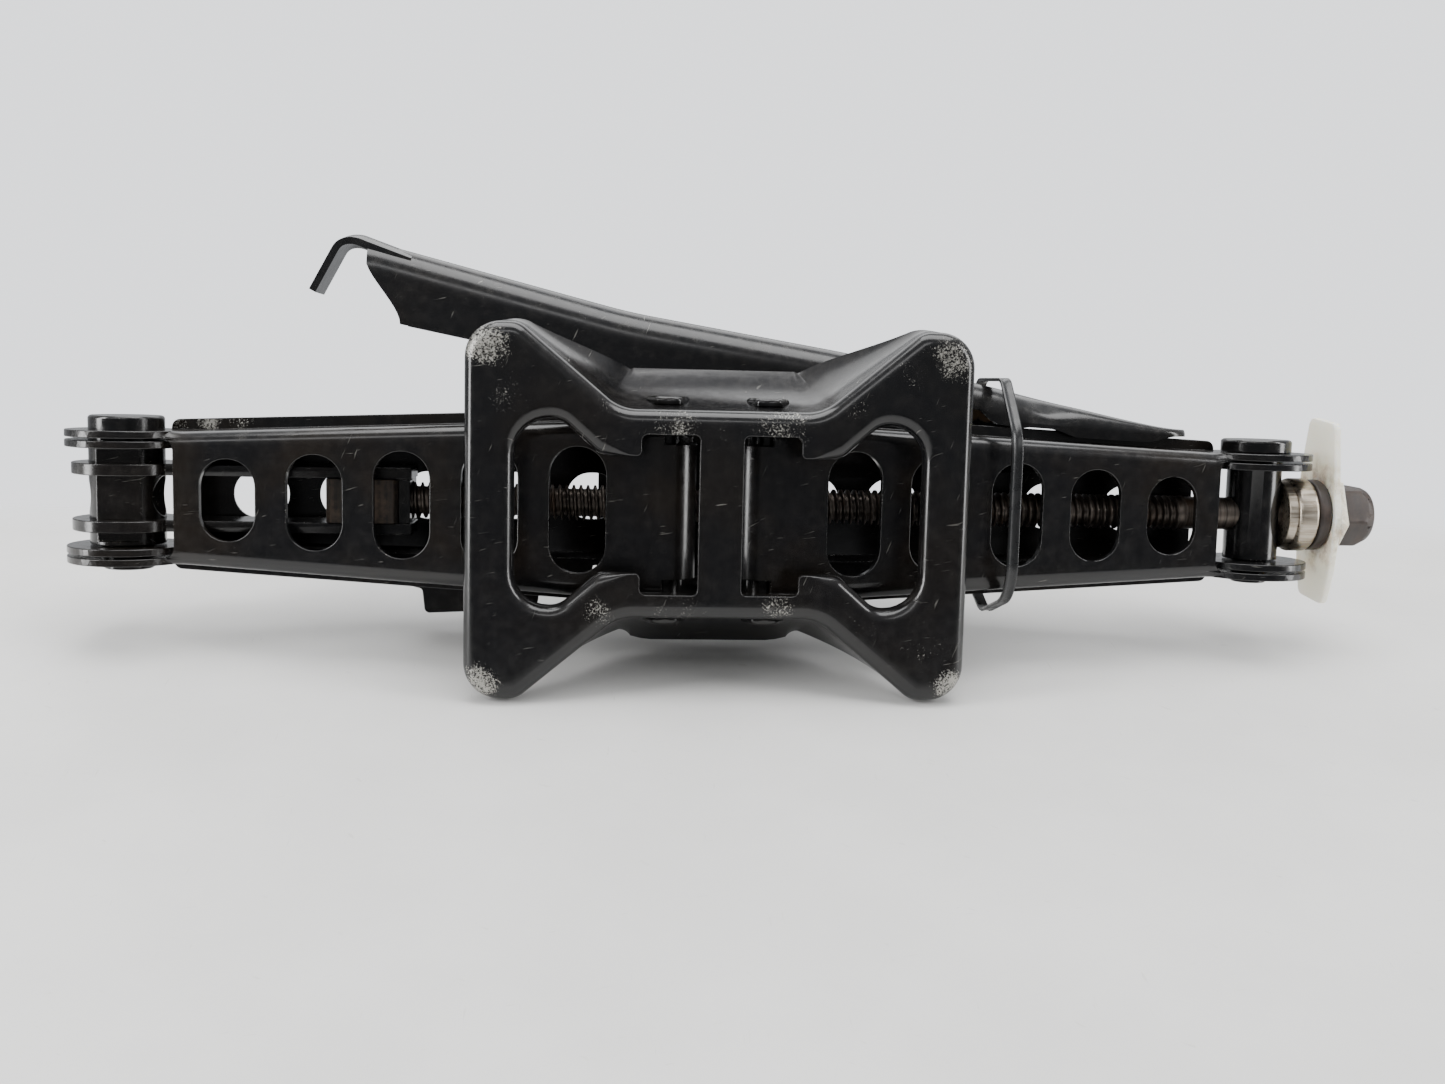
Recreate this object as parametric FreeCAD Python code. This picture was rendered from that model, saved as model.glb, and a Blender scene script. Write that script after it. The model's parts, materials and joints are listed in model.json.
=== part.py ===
import FreeCAD, Part
import math
import os
from FreeCAD import Vector

# A collapsed scissor jack lying on its side, with its wrench tied to it.
# It is modelled in the jack's own directions: X along the screw towards the drive hexagon,
# Y from the foot to the saddle, Z along the pins. At the end everything is laid down.

os.makedirs("parts", exist_ok=True)

# ---- driving dimensions, mm ----
PIVOT_X = 17.2              # half the distance between the two pins of the foot
BASE_PIVOT_Y = 22.0         # pins behind the foot's face
TRUNNION_X = 203.4          # half the distance between the trunnions, collapsed
TRUNNION_RISE = 24.0        # each arm's rise, collapsed
TRUNNION_Y = BASE_PIVOT_Y + TRUNNION_RISE
SADDLE_PIVOT_Y = TRUNNION_Y + TRUNNION_RISE
ARM_RUN = TRUNNION_X - PIVOT_X
ARM_LENGTH = math.hypot(ARM_RUN, TRUNNION_RISE)
REST_ANGLE = math.degrees(math.atan2(TRUNNION_RISE, ARM_RUN))
RUNNING = 0.05              # radial clearance of a pin in its bore

SHEET = 2.5                 # thickness of the arms
ARM_HALF_DEPTH = 11.0       # web and flange edges either side of the pin line
BEND = 5.0                  # outside bend radius
EAR_RADIUS = 20.0
WEB_END = 20.3              # the web stops this far short of the trunnion pin
LOWER_INNER_HALF = 30.0     # outside half width of a lower arm at the foot
LOWER_EAR_HALF = 22.9       # and at the trunnion
UPPER_INNER_HALF = 24.0
UPPER_EAR_HALF = 19.5
SLOT_PITCH = 29.95
SLOT_WIDTH = 19.2
LOWER_FIRST_SLOT = 38.9     # middle of the slot nearest the trunnion, from the trunnion pin
UPPER_FIRST_SLOT = 43.9
LIP = 3.6                   # the lower arms' flanges turn out by this much

TEETH = 12                  # teeth of a full circle, of which an arm has four
TOOTH_TIP = 18.6
TOOTH_ROOT = 15.3

FOOT_HALF_LENGTH = 84.3
FOOT_HALF_WIDTH = 62.3
WAIST_HALF_WIDTH = 34.8
FOOT_SHEET = 3.0
WAIST_DEPTH = 40.0          # side walls at the waist
END_DEPTH = 8.0             # side walls at the lobes

PIN_RADIUS = 6.0
SCREW_RADIUS = 6.35
SHANK_RADIUS = 6.0
SCREW_BORE = 7.0
HEX_FLATS = 21.0
HEAD_TOP = 27.8             # top of the trunnion heads
BARREL_RADIUS = 12.5
BARREL_FOOT = 16.6          # half height of the trunnion bodies
NECK_FOOT = 25.4            # lower end of the trunnion necks
LEFT_NECK_RADIUS = 8.2
RIGHT_SHANK_RADIUS = 9.65
RIGHT_NECK_RADIUS = 6.2
SEAT_FLAT = 9.0             # the thrust seat bears on a flat this far from the trunnion's axis
SEAT_END = 215.8            # the seat, the collar and the drive head follow each other along X
COLLAR_END = 223.5
COLLAR_RADIUS = 13.6

SADDLE_TOP = 101.0
SADDLE_PAD_HALF = 38.0

RIGHT = 1
LEFT = -1


# ---- outlines ----

def rounded_outline(points, radii):
    """Closed outline in the XY plane: straight sides, and an arc of the given radius at each corner."""
    corners = [Vector(a, b, 0) for a, b in points]
    starts = []
    ends = []
    arcs = []
    for i, corner in enumerate(corners):
        before = (corners[i - 1] - corner).normalize()
        after = (corners[(i + 1) % len(corners)] - corner).normalize()
        half = before.getAngle(after) / 2
        if radii[i] <= 0 or half > math.pi / 2 - 0.001:
            starts.append(corner)
            ends.append(corner)
            arcs.append(None)
            continue
        reach = radii[i] / math.tan(half)
        inward = (before + after).normalize()
        middle = corner + inward * (radii[i] / math.sin(half) - radii[i])
        starts.append(corner + before * reach)
        ends.append(corner + after * reach)
        arcs.append(Part.Arc(starts[i], middle, ends[i]).toShape())
    edges = []
    for i in range(len(corners)):
        if arcs[i]:
            edges.append(arcs[i])
        following = starts[(i + 1) % len(corners)]
        if ends[i].distanceToPoint(following) > 1e-6:
            edges.append(Part.LineSegment(ends[i], following).toShape())
    return Part.Wire(edges)


def turned(shape, plane):
    """Carries a shape drawn in XY to the plane seen from the side, the front (XZ) or the end (YZ)."""
    if plane == "front":
        shape.rotate(Vector(0, 0, 0), Vector(1, 0, 0), 90)
    if plane == "end":
        shape.rotate(Vector(0, 0, 0), Vector(1, 1, 1), 120)
    return shape


def prism(points, radii, plane, low, high):
    """A rounded outline thickened from low to high: side along Z, front along Y, end along X."""
    if not isinstance(radii, list):
        radii = [radii] * len(points)
    face = Part.Face(rounded_outline(points, radii))
    body = face.extrude(Vector(0, 0, high - low))
    if plane == "front":
        body.translate(Vector(0, 0, -high))
    else:
        body.translate(Vector(0, 0, low))
    return turned(body, plane)


def box(x0, x1, y0, y1, z0, z1):
    return Part.makeBox(x1 - x0, y1 - y0, z1 - z0, Vector(x0, y0, z0))


def post(x, y, radius, z0, z1):
    """A round bar along Z."""
    return Part.makeCylinder(radius, z1 - z0, Vector(x, y, z0), Vector(0, 0, 1))


def rod(radius, x0, x1):
    """A round bar along the screw's axis."""
    return Part.makeCylinder(radius, x1 - x0, Vector(x0, TRUNNION_Y, 0), Vector(1, 0, 0))


def offset_path(points, distance):
    """The open path moved sideways, to its left, by a distance."""
    moved = []
    for i, point in enumerate(points):
        here = Vector(point[0], point[1], 0)
        sides = []
        if i > 0:
            sides.append((here - Vector(points[i - 1][0], points[i - 1][1], 0)).normalize())
        if i < len(points) - 1:
            sides.append((Vector(points[i + 1][0], points[i + 1][1], 0) - here).normalize())
        normals = [Vector(-side.y, side.x, 0) for side in sides]
        mean = normals[0] + normals[-1]
        mean.normalize()
        reach = distance / mean.dot(normals[0])
        moved.append((here.x + mean.x * reach, here.y + mean.y * reach))
    return moved


def both_halves(shape):
    """A shape joined to its mirror image below the mid-plane."""
    return shape.fuse(shape.mirror(Vector(0, 0, 0), Vector(0, 0, 1)))


# ---- arms ----

def taper(inner_half, ear_half, grow=0.0):
    """Front outline of an arm: parallel at the foot, tapering, and parallel again at the ears."""
    upper = [(0, inner_half), (22, inner_half), (165, ear_half), (ARM_LENGTH + 4, ear_half)]
    upper = [(s, w + grow) for s, w in upper]
    return upper + [(s, -w) for s, w in reversed(upper)]


def half_width(s, inner_half, ear_half):
    share = min(max((s - 22) / (165 - 22), 0), 1)
    return inner_half + (ear_half - inner_half) * share


def tooth(angle):
    """One straight-sided tooth, pointing along an angle from the arm's own direction."""
    sides = [(TOOTH_ROOT - 1, 10.6), (TOOTH_TIP, 3.0), (TOOTH_TIP, -3.0), (TOOTH_ROOT - 1, -10.6)]
    points = []
    for radius, lean in sides:
        turn = math.radians(angle + lean)
        points.append((radius * math.cos(turn), radius * math.sin(turn)))
    return points


def cheek(inner_half, ear_half, first_tooth):
    """The flat plates of one flange at its ends: toothed at the pin, round at the trunnion."""
    low = inner_half - SHEET
    plate = post(0, 0, TOOTH_ROOT, low, inner_half)
    for k in range(4):
        angle = first_tooth - k * 360 / TEETH
        plate = plate.fuse(prism(tooth(angle), 0, "side", low, inner_half))
    ear = post(ARM_LENGTH, 0, EAR_RADIUS, ear_half - SHEET, ear_half)
    return plate, ear


def arm(inner_half, ear_half, first_tooth, lips, first_slot, slot_heights, holes):
    """A channel arm along X from its pin at the origin, with its web on the -Y side."""
    depth = ARM_HALF_DEPTH
    outside = prism(taper(inner_half, ear_half), 0, "front", -depth, depth)
    web_edges = [e for e in outside.Edges
                 if abs(e.CenterOfMass.y + depth) < 0.01 and abs(e.CenterOfMass.z) > 5]
    outside = outside.makeFillet(BEND, web_edges)
    inside = prism(taper(inner_half, ear_half, -SHEET), 0, "front", -depth + SHEET, depth + 1)
    inside = inside.fuse(box(ARM_LENGTH - 1, ARM_LENGTH + 5, -depth - 1, depth + 1,
                             -ear_half + SHEET, ear_half - SHEET))
    body = outside.cut(inside)

    lip_start, lip_end, lip = lips
    root = [(s, half_width(s, inner_half, ear_half) - 1.0) for s in (lip_start, lip_end)]
    strip = root + [(s, w + 1.0 + lip) for s, w in reversed(root)]
    edge = prism(strip, [0, 0, 3, 3], "front", depth - SHEET, depth)
    body = body.fuse(both_halves(edge))

    plate, ear = cheek(inner_half, ear_half, first_tooth)
    body = body.fuse([both_halves(plate), both_halves(ear)])
    curl = Part.makeCylinder(depth, 2 * inner_half - 14, Vector(0, 0, -inner_half + 7), Vector(0, 0, 1), 75)
    curl.rotate(Vector(0, 0, 0), Vector(0, 0, 1), 195)
    body = body.fuse(curl.cut(post(0, 0, depth - SHEET, -inner_half, inner_half)))

    cut = []
    web_end = ARM_LENGTH - WEB_END
    mouth = ear_half - SHEET
    cut.append(prism([(web_end, -mouth), (ARM_LENGTH + 30, -mouth), (ARM_LENGTH + 30, mouth), (web_end, mouth)],
                     [4, 0, 0, 4], "front", -depth - 1, depth + 1))
    for i, height in enumerate(slot_heights):
        middle = ARM_LENGTH - first_slot - SLOT_PITCH * i
        half = SLOT_WIDTH / 2
        racetrack = [(middle - half, -height), (middle + half, -height),
                     (middle + half, height), (middle - half, height)]
        cut.append(prism(racetrack, min(half, height) - 0.2, "front", -depth - 1, -depth + SHEET + 1))
    pin, top_hole, bottom_hole = holes
    cut.append(post(0, 0, pin + RUNNING, -40, 40))
    cut.append(post(ARM_LENGTH, 0, top_hole + RUNNING, 0, 40))
    cut.append(post(ARM_LENGTH, 0, bottom_hole + RUNNING, -40, 0))
    return body.cut(cut).removeSplitter()


def place_arm(shape, side, upper):
    """Carries an arm from its own frame to its pivot: side is RIGHT or LEFT."""
    angle = REST_ANGLE
    pivot_y = BASE_PIVOT_Y
    if upper:
        shape = shape.mirror(Vector(0, 0, 0), Vector(0, 1, 0))
        angle = -angle
        pivot_y = SADDLE_PIVOT_Y
    shape.rotate(Vector(0, 0, 0), Vector(0, 0, 1), angle)
    shape.translate(Vector(PIVOT_X, pivot_y, 0))
    if side == LEFT:
        shape = shape.mirror(Vector(0, 0, 0), Vector(1, 0, 0))
    return shape


def make_arms():
    """Four arms: on the left a tooth faces each gap on the right, so the pairs mesh."""
    left_holes = (PIN_RADIUS, BARREL_RADIUS, LEFT_NECK_RADIUS)
    right_holes = (PIN_RADIUS, RIGHT_SHANK_RADIUS, RIGHT_NECK_RADIUS)
    lower_slots = [14.0, 16.3, 18.2, 19.9, 21.4]
    upper_slots = [8.8, 8.8, 8.8, 8.8, 8.8]
    lower_lip = (26, ARM_LENGTH - 12.2, LIP)
    upper_lip = (26, 92, 3.0)
    arms = {}
    for name, side, holes, first in (("left", LEFT, left_holes, 200), ("right", RIGHT, right_holes, 185)):
        lower = arm(LOWER_INNER_HALF, LOWER_EAR_HALF, first, lower_lip, LOWER_FIRST_SLOT,
                    lower_slots, holes)
        arms["lower_arm_" + name] = place_arm(lower, side, False)
        upper = arm(UPPER_INNER_HALF, UPPER_EAR_HALF, first, upper_lip, UPPER_FIRST_SLOT,
                    upper_slots, holes)
        arms["upper_arm_" + name] = place_arm(upper, side, True)
    return arms


# ---- foot ----

def foot_outline(waist, inset):
    """Bow-tie outline: square ends with round lobes, drawn in to a straight waist."""
    a = FOOT_HALF_LENGTH - inset
    h = FOOT_HALF_WIDTH - inset
    w = waist - inset
    knee = 33.5 + 0.3 * inset - 0.45 * (waist - WAIST_HALF_WIDTH)
    shoulder = 66.5 + 0.4 * inset
    quarter = [(a, h, 12 - inset), (shoulder, h, 8 - inset), (knee, w, 10 + inset)]
    top = quarter + [(-x, z, r) for x, z, r in reversed(quarter)]
    whole = top + [(x, -z, r) for x, z, r in reversed(top)]
    return [(x, z) for x, z, r in whole], [r for x, z, r in whole]


# depth behind the face, rounding at the front edge, and the flare of the waist walls
FOOT_SECTIONS = [(0.0, 2.6, 0.0), (0.9, 0.9, 0.0), (3.0, 0.0, 0.0), (14.0, 0.0, 0.8),
                 (22.0, 0.0, 1.6), (28.0, 0.0, 4.0), (34.0, 0.0, 8.0), (40.0, 0.0, 13.0)]


def foot_stack(wall):
    """Solid through the foot's outlines, each moved inwards by a wall thickness."""
    wires = []
    for depth, rounding, flare in FOOT_SECTIONS:
        points, radii = foot_outline(WAIST_HALF_WIDTH + flare, rounding + wall)
        wire = turned(rounded_outline(points, radii), "front")
        wire.translate(Vector(0, depth, 0))
        wires.append(wire)
    return Part.makeLoft(wires, True, True)


def foot_windows():
    """The two large openings and the pin cut-outs beside the centre strip."""
    edge = [(7.3, 26.5), (26.5, 26.5), (26.5, 19.4), (40, 19.4), (52, 30.5), (68, 30.5)]
    radii = [1.5, 2, 1.5, 6, 7, 12]
    points = edge + [(x, -z) for x, z in reversed(edge)]
    right = prism(points, radii + radii[::-1], "front", -1, FOOT_SHEET + 1)
    return right.fuse(right.mirror(Vector(0, 0, 0), Vector(1, 0, 0)))


def make_base():
    shell = foot_stack(0.0)
    hollow = foot_stack(FOOT_SHEET)
    hollow = hollow.cut(box(-100, 100, -1, FOOT_SHEET, -80, 80))
    shell = shell.cut(hollow)
    slope = [(34, WAIST_DEPTH), (54, 28), (68, END_DEPTH), (100, END_DEPTH), (100, 80)]
    rim = [(-x, depth) for x, depth in reversed(slope)] + slope
    shell = shell.cut(prism(rim, [0, 0, 8, 10, 10, 10, 10, 8, 0, 0], "side", -80, 80))
    shell = shell.cut(foot_windows())
    for x in (-PIVOT_X, PIVOT_X):
        shell = shell.cut(post(x, BASE_PIVOT_Y, PIN_RADIUS, -60, 60))
    return shell


def crimped_pin(x, y, half_length):
    """A plain pin with both ends spread and domed over the wall."""
    pin = post(x, y, PIN_RADIUS, -half_length, half_length)
    rims = [e for e in pin.Edges if abs(abs(e.CenterOfMass.z) - half_length) < 0.01]
    return pin.makeChamfer(0.8, rims)


# ---- saddle ----

def make_saddle():
    """Plate over the upper pins: a web, and two side walls that hold the pins."""
    web_low = SADDLE_PIVOT_Y + TOOTH_TIP + 0.6
    web_high = web_low + FOOT_SHEET
    wall_in = UPPER_INNER_HALF + 1.2
    wall_out = wall_in + FOOT_SHEET
    body = box(-40, 40, web_low - 38, web_high, -wall_out, wall_out)
    long_edges = [e for e in body.Edges
                  if abs(e.CenterOfMass.y - web_high) < 0.01 and abs(e.CenterOfMass.z) > 5]
    body = body.makeFillet(4.0, long_edges)
    body = body.cut(box(-50, 50, web_low - 50, web_low, -wall_in, wall_in))
    side = [(-40, web_high), (-40, 78), (-29, 59), (29, 59), (40, 78), (40, web_high)]
    body = body.common(prism(side, [3, 8, 10, 10, 8, 3], "side", -40, 40))
    for x in (-PIVOT_X, PIVOT_X):
        body = body.cut(post(x, SADDLE_PIVOT_Y, PIN_RADIUS, -60, 60))
    return body, web_high, wall_out


def make_saddle_pad(floor):
    """Bent cap across the saddle, with the groove that takes a sill's seam."""
    rail = SADDLE_TOP - floor
    half = SADDLE_PAD_HALF
    path = [(-24, floor), (-24, SADDLE_TOP), (-7.5, SADDLE_TOP), (-7.5, floor + 2.5),
            (7.5, floor + 2.5), (7.5, SADDLE_TOP), (24, SADDLE_TOP), (24, floor)]
    inner = [(21.5, floor), (21.5, SADDLE_TOP - 2.5), (10, SADDLE_TOP - 2.5), (10, floor),
             (-10, floor), (-10, SADDLE_TOP - 2.5), (-21.5, SADDLE_TOP - 2.5), (-21.5, floor)]
    bend = min(2.0, rail / 4)
    radii = [0, bend, bend, 0.8, 0.8, bend, bend, 0] + [0, 0.5, 0.5, 0, 0, 0.5, 0.5, 0]
    return prism(path + inner, radii, "side", -half, half)


# ---- screw line ----

def make_trunnions():
    flat = 10.2
    left = post(-TRUNNION_X, TRUNNION_Y, BARREL_RADIUS, -BARREL_FOOT, HEAD_TOP)
    left = left.cut(box(-TRUNNION_X - 20, -TRUNNION_X + 20, TRUNNION_Y - 20, TRUNNION_Y - flat,
                        -BARREL_FOOT + 1.5, BARREL_FOOT))
    left = left.fuse(post(-TRUNNION_X, TRUNNION_Y, LEFT_NECK_RADIUS, -NECK_FOOT, -BARREL_FOOT))
    left = left.cut(rod(SCREW_BORE, -TRUNNION_X - 30, -TRUNNION_X + 30))

    right = post(TRUNNION_X, TRUNNION_Y, BARREL_RADIUS, LOWER_EAR_HALF + 0.2, HEAD_TOP)
    right = right.fuse(post(TRUNNION_X, TRUNNION_Y, RIGHT_SHANK_RADIUS, -BARREL_FOOT, LOWER_EAR_HALF + 1))
    right = right.fuse(post(TRUNNION_X, TRUNNION_Y, RIGHT_NECK_RADIUS, -NECK_FOOT, -BARREL_FOOT))
    right = right.cut(box(TRUNNION_X + SEAT_FLAT, TRUNNION_X + 30, 0, 90, -14, 14))
    right = right.cut(rod(SHANK_RADIUS + RUNNING, TRUNNION_X - 30, TRUNNION_X + 30))
    return softened(left, HEAD_TOP), softened(right, HEAD_TOP)


def softened(shape, top):
    """The head's upper edge is broken by a small chamfer."""
    rims = [e for e in shape.Edges if abs(e.CenterOfMass.z - top) < 0.01]
    return shape.makeChamfer(0.7, rims)


NUT_RIGHT = -109.5
NUT_LENGTH = 24.7
PLATE_IN = 7.7
PLATE_OUT = 11.7


def make_nut_bracket():
    """Two plates from the barrel to the nut, tied by a cross web that the nut pulls against."""
    bar = box(-TRUNNION_X, NUT_RIGHT + 4.5, TRUNNION_Y - 9.5, TRUNNION_Y + 9.5, PLATE_IN, PLATE_OUT)
    plate = bar.fuse(post(-TRUNNION_X, TRUNNION_Y, 18.0, PLATE_IN, PLATE_OUT))
    plate = plate.cut(post(-TRUNNION_X, TRUNNION_Y, BARREL_RADIUS, 0, 20))
    window = box(NUT_RIGHT - 17, NUT_RIGHT - 5, TRUNNION_Y - 6, TRUNNION_Y + 6, 0, 20)
    plate = plate.cut(window)
    plates = Part.makeCompound([plate, plate.mirror(Vector(0, 0, 0), Vector(0, 0, 1))])
    web = box(NUT_RIGHT, NUT_RIGHT + 4, TRUNNION_Y - 9.5, TRUNNION_Y + 9.5, -PLATE_IN, PLATE_IN)
    web = web.cut(rod(SCREW_BORE, NUT_RIGHT - 5, NUT_RIGHT + 10))
    return plates, web


def make_nut():
    """Block nut with a lug in each plate's window."""
    nut = box(NUT_RIGHT - NUT_LENGTH, NUT_RIGHT, TRUNNION_Y - 11, TRUNNION_Y + 11, -PLATE_IN, PLATE_IN)
    nut = nut.makeChamfer(1.5, [e for e in nut.Edges if abs(e.tangentAt(0).z) > 0.9])
    nut = nut.fuse(box(NUT_RIGHT - 17, NUT_RIGHT - 5, TRUNNION_Y - 6, TRUNNION_Y + 6, -PLATE_OUT, PLATE_OUT))
    return nut.cut(rod(SCREW_RADIUS + RUNNING, -200, 0))


SCREW_START = -128.5
THREAD_END = 176.0
SHANK_END = 243.0


def make_screw():
    """Threaded from the nut nearly to the trunnion, then a plain shank."""
    thread = rod(SCREW_RADIUS, SCREW_START, THREAD_END)
    ends = [e for e in thread.Edges if len(e.Vertexes) == 1]
    thread = thread.makeChamfer(1.2, ends)
    return thread.fuse(rod(SHANK_RADIUS, THREAD_END - 6, SHANK_END)).removeSplitter()


def make_thrust_rings():
    """The seat against the trunnion's flat, and the collar that turns between it and the drive head."""
    bore = rod(SHANK_RADIUS + RUNNING, TRUNNION_X, COLLAR_END + 1)
    seat = rod(BARREL_RADIUS, TRUNNION_X + SEAT_FLAT, SEAT_END)
    collar = rod(COLLAR_RADIUS, SEAT_END, COLLAR_END)
    collar = collar.makeFillet(1.5, [e for e in collar.Edges if len(e.Vertexes) == 1])
    return seat.cut(bore), collar.cut(bore)


def hexagon(flats, x0, x1):
    """A hexagonal bar along the screw's axis, one corner towards the foot."""
    radius = flats / math.sqrt(3)
    points = []
    for k in range(6):
        turn = math.radians(60 * k + 8)
        points.append((TRUNNION_Y + radius * math.cos(turn), radius * math.sin(turn)))
    return prism(points, 0, "end", x0, x1)


HEAD_END = 246.5


def make_drive_head():
    flange = rod(13.2, 223.6, 228.4)
    flange = flange.makeFillet(1.2, [e for e in flange.Edges if len(e.Vertexes) == 1])
    hexa = hexagon(HEX_FLATS, 228, HEAD_END)
    cone = Part.makeCone(21.0, 9.4, 23.2, Vector(HEAD_END - 23, TRUNNION_Y, 0), Vector(1, 0, 0))
    return flange.fuse(hexa.common(cone)).cut(rod(SHANK_RADIUS, 200, SHANK_END))


def make_guard():
    """Plastic propeller plate on the hexagon, with a short six-sided collar."""
    wing = [(-13, 8), (-9.5, 34.5), (9.5, 36.5), (13.5, 20), (16, 0), (13.5, -18),
            (10, -31), (-8, -33), (-12, -20), (-15, 0)]
    wing = [(TRUNNION_Y + y, z) for y, z in wing]
    plate = prism(wing, [3, 3.5, 3.5, 2, 1, 2, 3.5, 3.5, 2, 1], "end", 228.5, 231.0)
    collar = hexagon(28.0, 230.5, 233.4)
    return plate.fuse(collar).cut(hexagon(HEX_FLATS, 220, 250)).cut(rod(12.0, 220, 230.0))


# ---- stowage bracket, wrench and tie ----

def make_stowage_bracket(flange):
    """Pressed plate with a stepped edge, welded edge-on to the upper left arm's flange."""
    face = [(-116, -21), (-108, -33), (-104, -34), (-103, -43), (-62, -41), (-60, -21)]
    plate = prism(face, [0, 2, 1.5, 2, 4, 0], "front", 60.5, 63.0)
    return plate.cut(flange)


# position along X, top of the back, depth, half width: the handle is deep and round at the hook,
# shallower along the grip, and flat at the tip
WRENCH_STATIONS = [(-115.5, 89.0, 27.0, 13.0), (-30.0, 68.2, 22.0, 12.5), (50.0, 55.6, 15.5, 12.0),
                   (104.0, 44.6, 11.0, 12.0), (150.0, 34.6, 5.8, 11.5), (172.0, 30.6, 2.55, 10.5)]
WRENCH_Y = 53.2
WRENCH_SHEET = 2.4
SOCKET_X = 80.0
SOCKET_Z = 46.2


def wrench_section(station):
    """U-shaped section, open downwards, with a rounded back."""
    x, top, depth, half = station
    t = WRENCH_SHEET
    turn = min(depth * 0.8, half * 0.8)
    inner_turn = max(turn - t, 0.1)
    outside = [(-half, -depth), (-half, 0), (half, 0), (half, -depth)]
    inside = [(half - t, -depth), (half - t, -t), (t - half, -t), (t - half, -depth)]
    wire = rounded_outline(outside + inside, [0, turn, turn, 0, 0, inner_turn, inner_turn, 0])
    wire = turned(wire, "end")
    wire.translate(Vector(x, WRENCH_Y, top))
    return wire


def make_wrench():
    body = Part.makeLoft([wrench_section(s) for s in WRENCH_STATIONS], True, True)
    tip = [(168, WRENCH_Y - 10), (178, WRENCH_Y - 10), (178, WRENCH_Y + 10), (168, WRENCH_Y + 10)]
    tab = prism(tip, [0, 5, 5, 0], "side", 28.1, 30.5)
    outer = [(-106, 86.6), (-129.5, 95.2), (-141.0, 72.5)]
    inner = offset_path(outer, WRENCH_SHEET)
    hook = prism(outer + inner[::-1], [0, 9, 0, 0, 6.6, 0], "front", WRENCH_Y - 8.5, WRENCH_Y + 8.5)
    return body.fuse([tab, hook])


def make_wrench_socket():
    """Six-sided socket for the wheel nuts, its axis across the handle."""
    far = WRENCH_Y + 12.2
    tube = Part.makeCylinder(14.2, 26, Vector(SOCKET_X, far, SOCKET_Z), Vector(0, 1, 0))
    radius = (HEX_FLATS + 0.3) / math.sqrt(3)
    points = []
    for k in range(6):
        turn = math.radians(60 * k)
        points.append((SOCKET_X + radius * math.cos(turn), SOCKET_Z + radius * math.sin(turn)))
    return tube.cut(prism(points, 0, "front", far + 4, far + 40))


def make_tie():
    """Nylon strap round the right arms and the wrench, and its ratchet head behind."""
    loop = [(11, -28), (11, 28), (30, 48), (62, 48), (77, 24), (77, -24), (44, -38)]
    radii = [16, 18, 7, 7, 8, 10, 12]
    outer = prism(loop, radii, "end", 100.5, 104.5)
    slim = [(12.2, -27.4), (12.2, 27.5), (30.5, 46.8), (61.4, 46.8), (75.8, 23.7), (75.8, -23.4), (43.8, -36.7)]
    strap = outer.cut(prism(slim, [r - 1.2 for r in radii], "end", 90, 120))
    head = box(99.5, 105.5, 77.0, 82.0, -4, 4)
    return strap, head


# ---- laying the jack down ----

def lay_down_angle():
    """The jack rests on the rear rims of the two lower lobes and on the saddle's lower corner."""
    rise = FOOT_HALF_WIDTH - SADDLE_PAD_HALF
    return math.degrees(math.atan2(rise, SADDLE_TOP - END_DEPTH))


def build():
    nodes = {}
    nodes["base_plate"] = make_base()
    for name, side in (("left", LEFT), ("right", RIGHT)):
        nodes["base_pin_" + name] = crimped_pin(side * PIVOT_X, BASE_PIVOT_Y, 38.2)
    nodes.update(make_arms())
    saddle, web_high, wall_out = make_saddle()
    nodes["saddle_plate"] = saddle
    nodes["saddle_pad"] = make_saddle_pad(web_high)
    for name, side in (("left", LEFT), ("right", RIGHT)):
        nodes["saddle_pin_" + name] = crimped_pin(side * PIVOT_X, SADDLE_PIVOT_Y, wall_out + 1.6)
    nodes["trunnion_left"], nodes["trunnion_right"] = make_trunnions()
    nodes["nut_bracket_plates"], nodes["nut_bracket_web"] = make_nut_bracket()
    nodes["drive_nut"] = make_nut()
    nodes["lead_screw"] = make_screw()
    nodes["thrust_seat"], nodes["thrust_collar"] = make_thrust_rings()
    nodes["drive_head"] = make_drive_head()
    nodes["screw_guard"] = make_guard()
    nodes["stowage_bracket"] = make_stowage_bracket(nodes["upper_arm_left"])
    nodes["wrench_handle"] = make_wrench()
    nodes["wrench_socket"] = make_wrench_socket()
    nodes["cable_tie_strap"], nodes["cable_tie_head"] = make_tie()
    return nodes


def main():
    nodes = build()
    tilt = lay_down_angle()
    for shape in nodes.values():
        shape.rotate(Vector(0, 0, 0), Vector(1, 0, 0), -tilt)
    whole = Part.makeCompound(list(nodes.values())).optimalBoundingBox(False, False)
    shift = Vector(-whole.Center.x, -whole.Center.y, -whole.ZMin)
    print("tilt %.3f  shift %.4f %.4f %.4f" % (tilt, shift.x, shift.y, shift.z))
    for name, shape in nodes.items():
        shape.translate(shift)
        shape.exportStep("parts/" + name + ".step")
        solids = len(shape.Solids)
        print("%-20s solids %d valid %s volume %.1f" % (name, solids, shape.isValid(), shape.Volume))


main()
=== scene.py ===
# %% [markdown]
# # A folded scissor jack with its wheel wrench
# The jack lies on its side, folded flat, and a cable tie holds the wheel wrench to it. The packed
# CAD parts are the frame: they already have the right sizes and places, and they carry the motion.
# This lesson gives them their looks. Machined and bent parts keep their CAD shape and get broken
# edges. The foot, the screw's thread, the wrench, the pin ends and the tie are made anew as
# surfaces from formulas, because there the real shape is rounder than the plain CAD shape.

# %% Load the frame
import json
import math

import bmesh
import bpy
import numpy as np
from mathutils import Matrix, geometry


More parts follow.
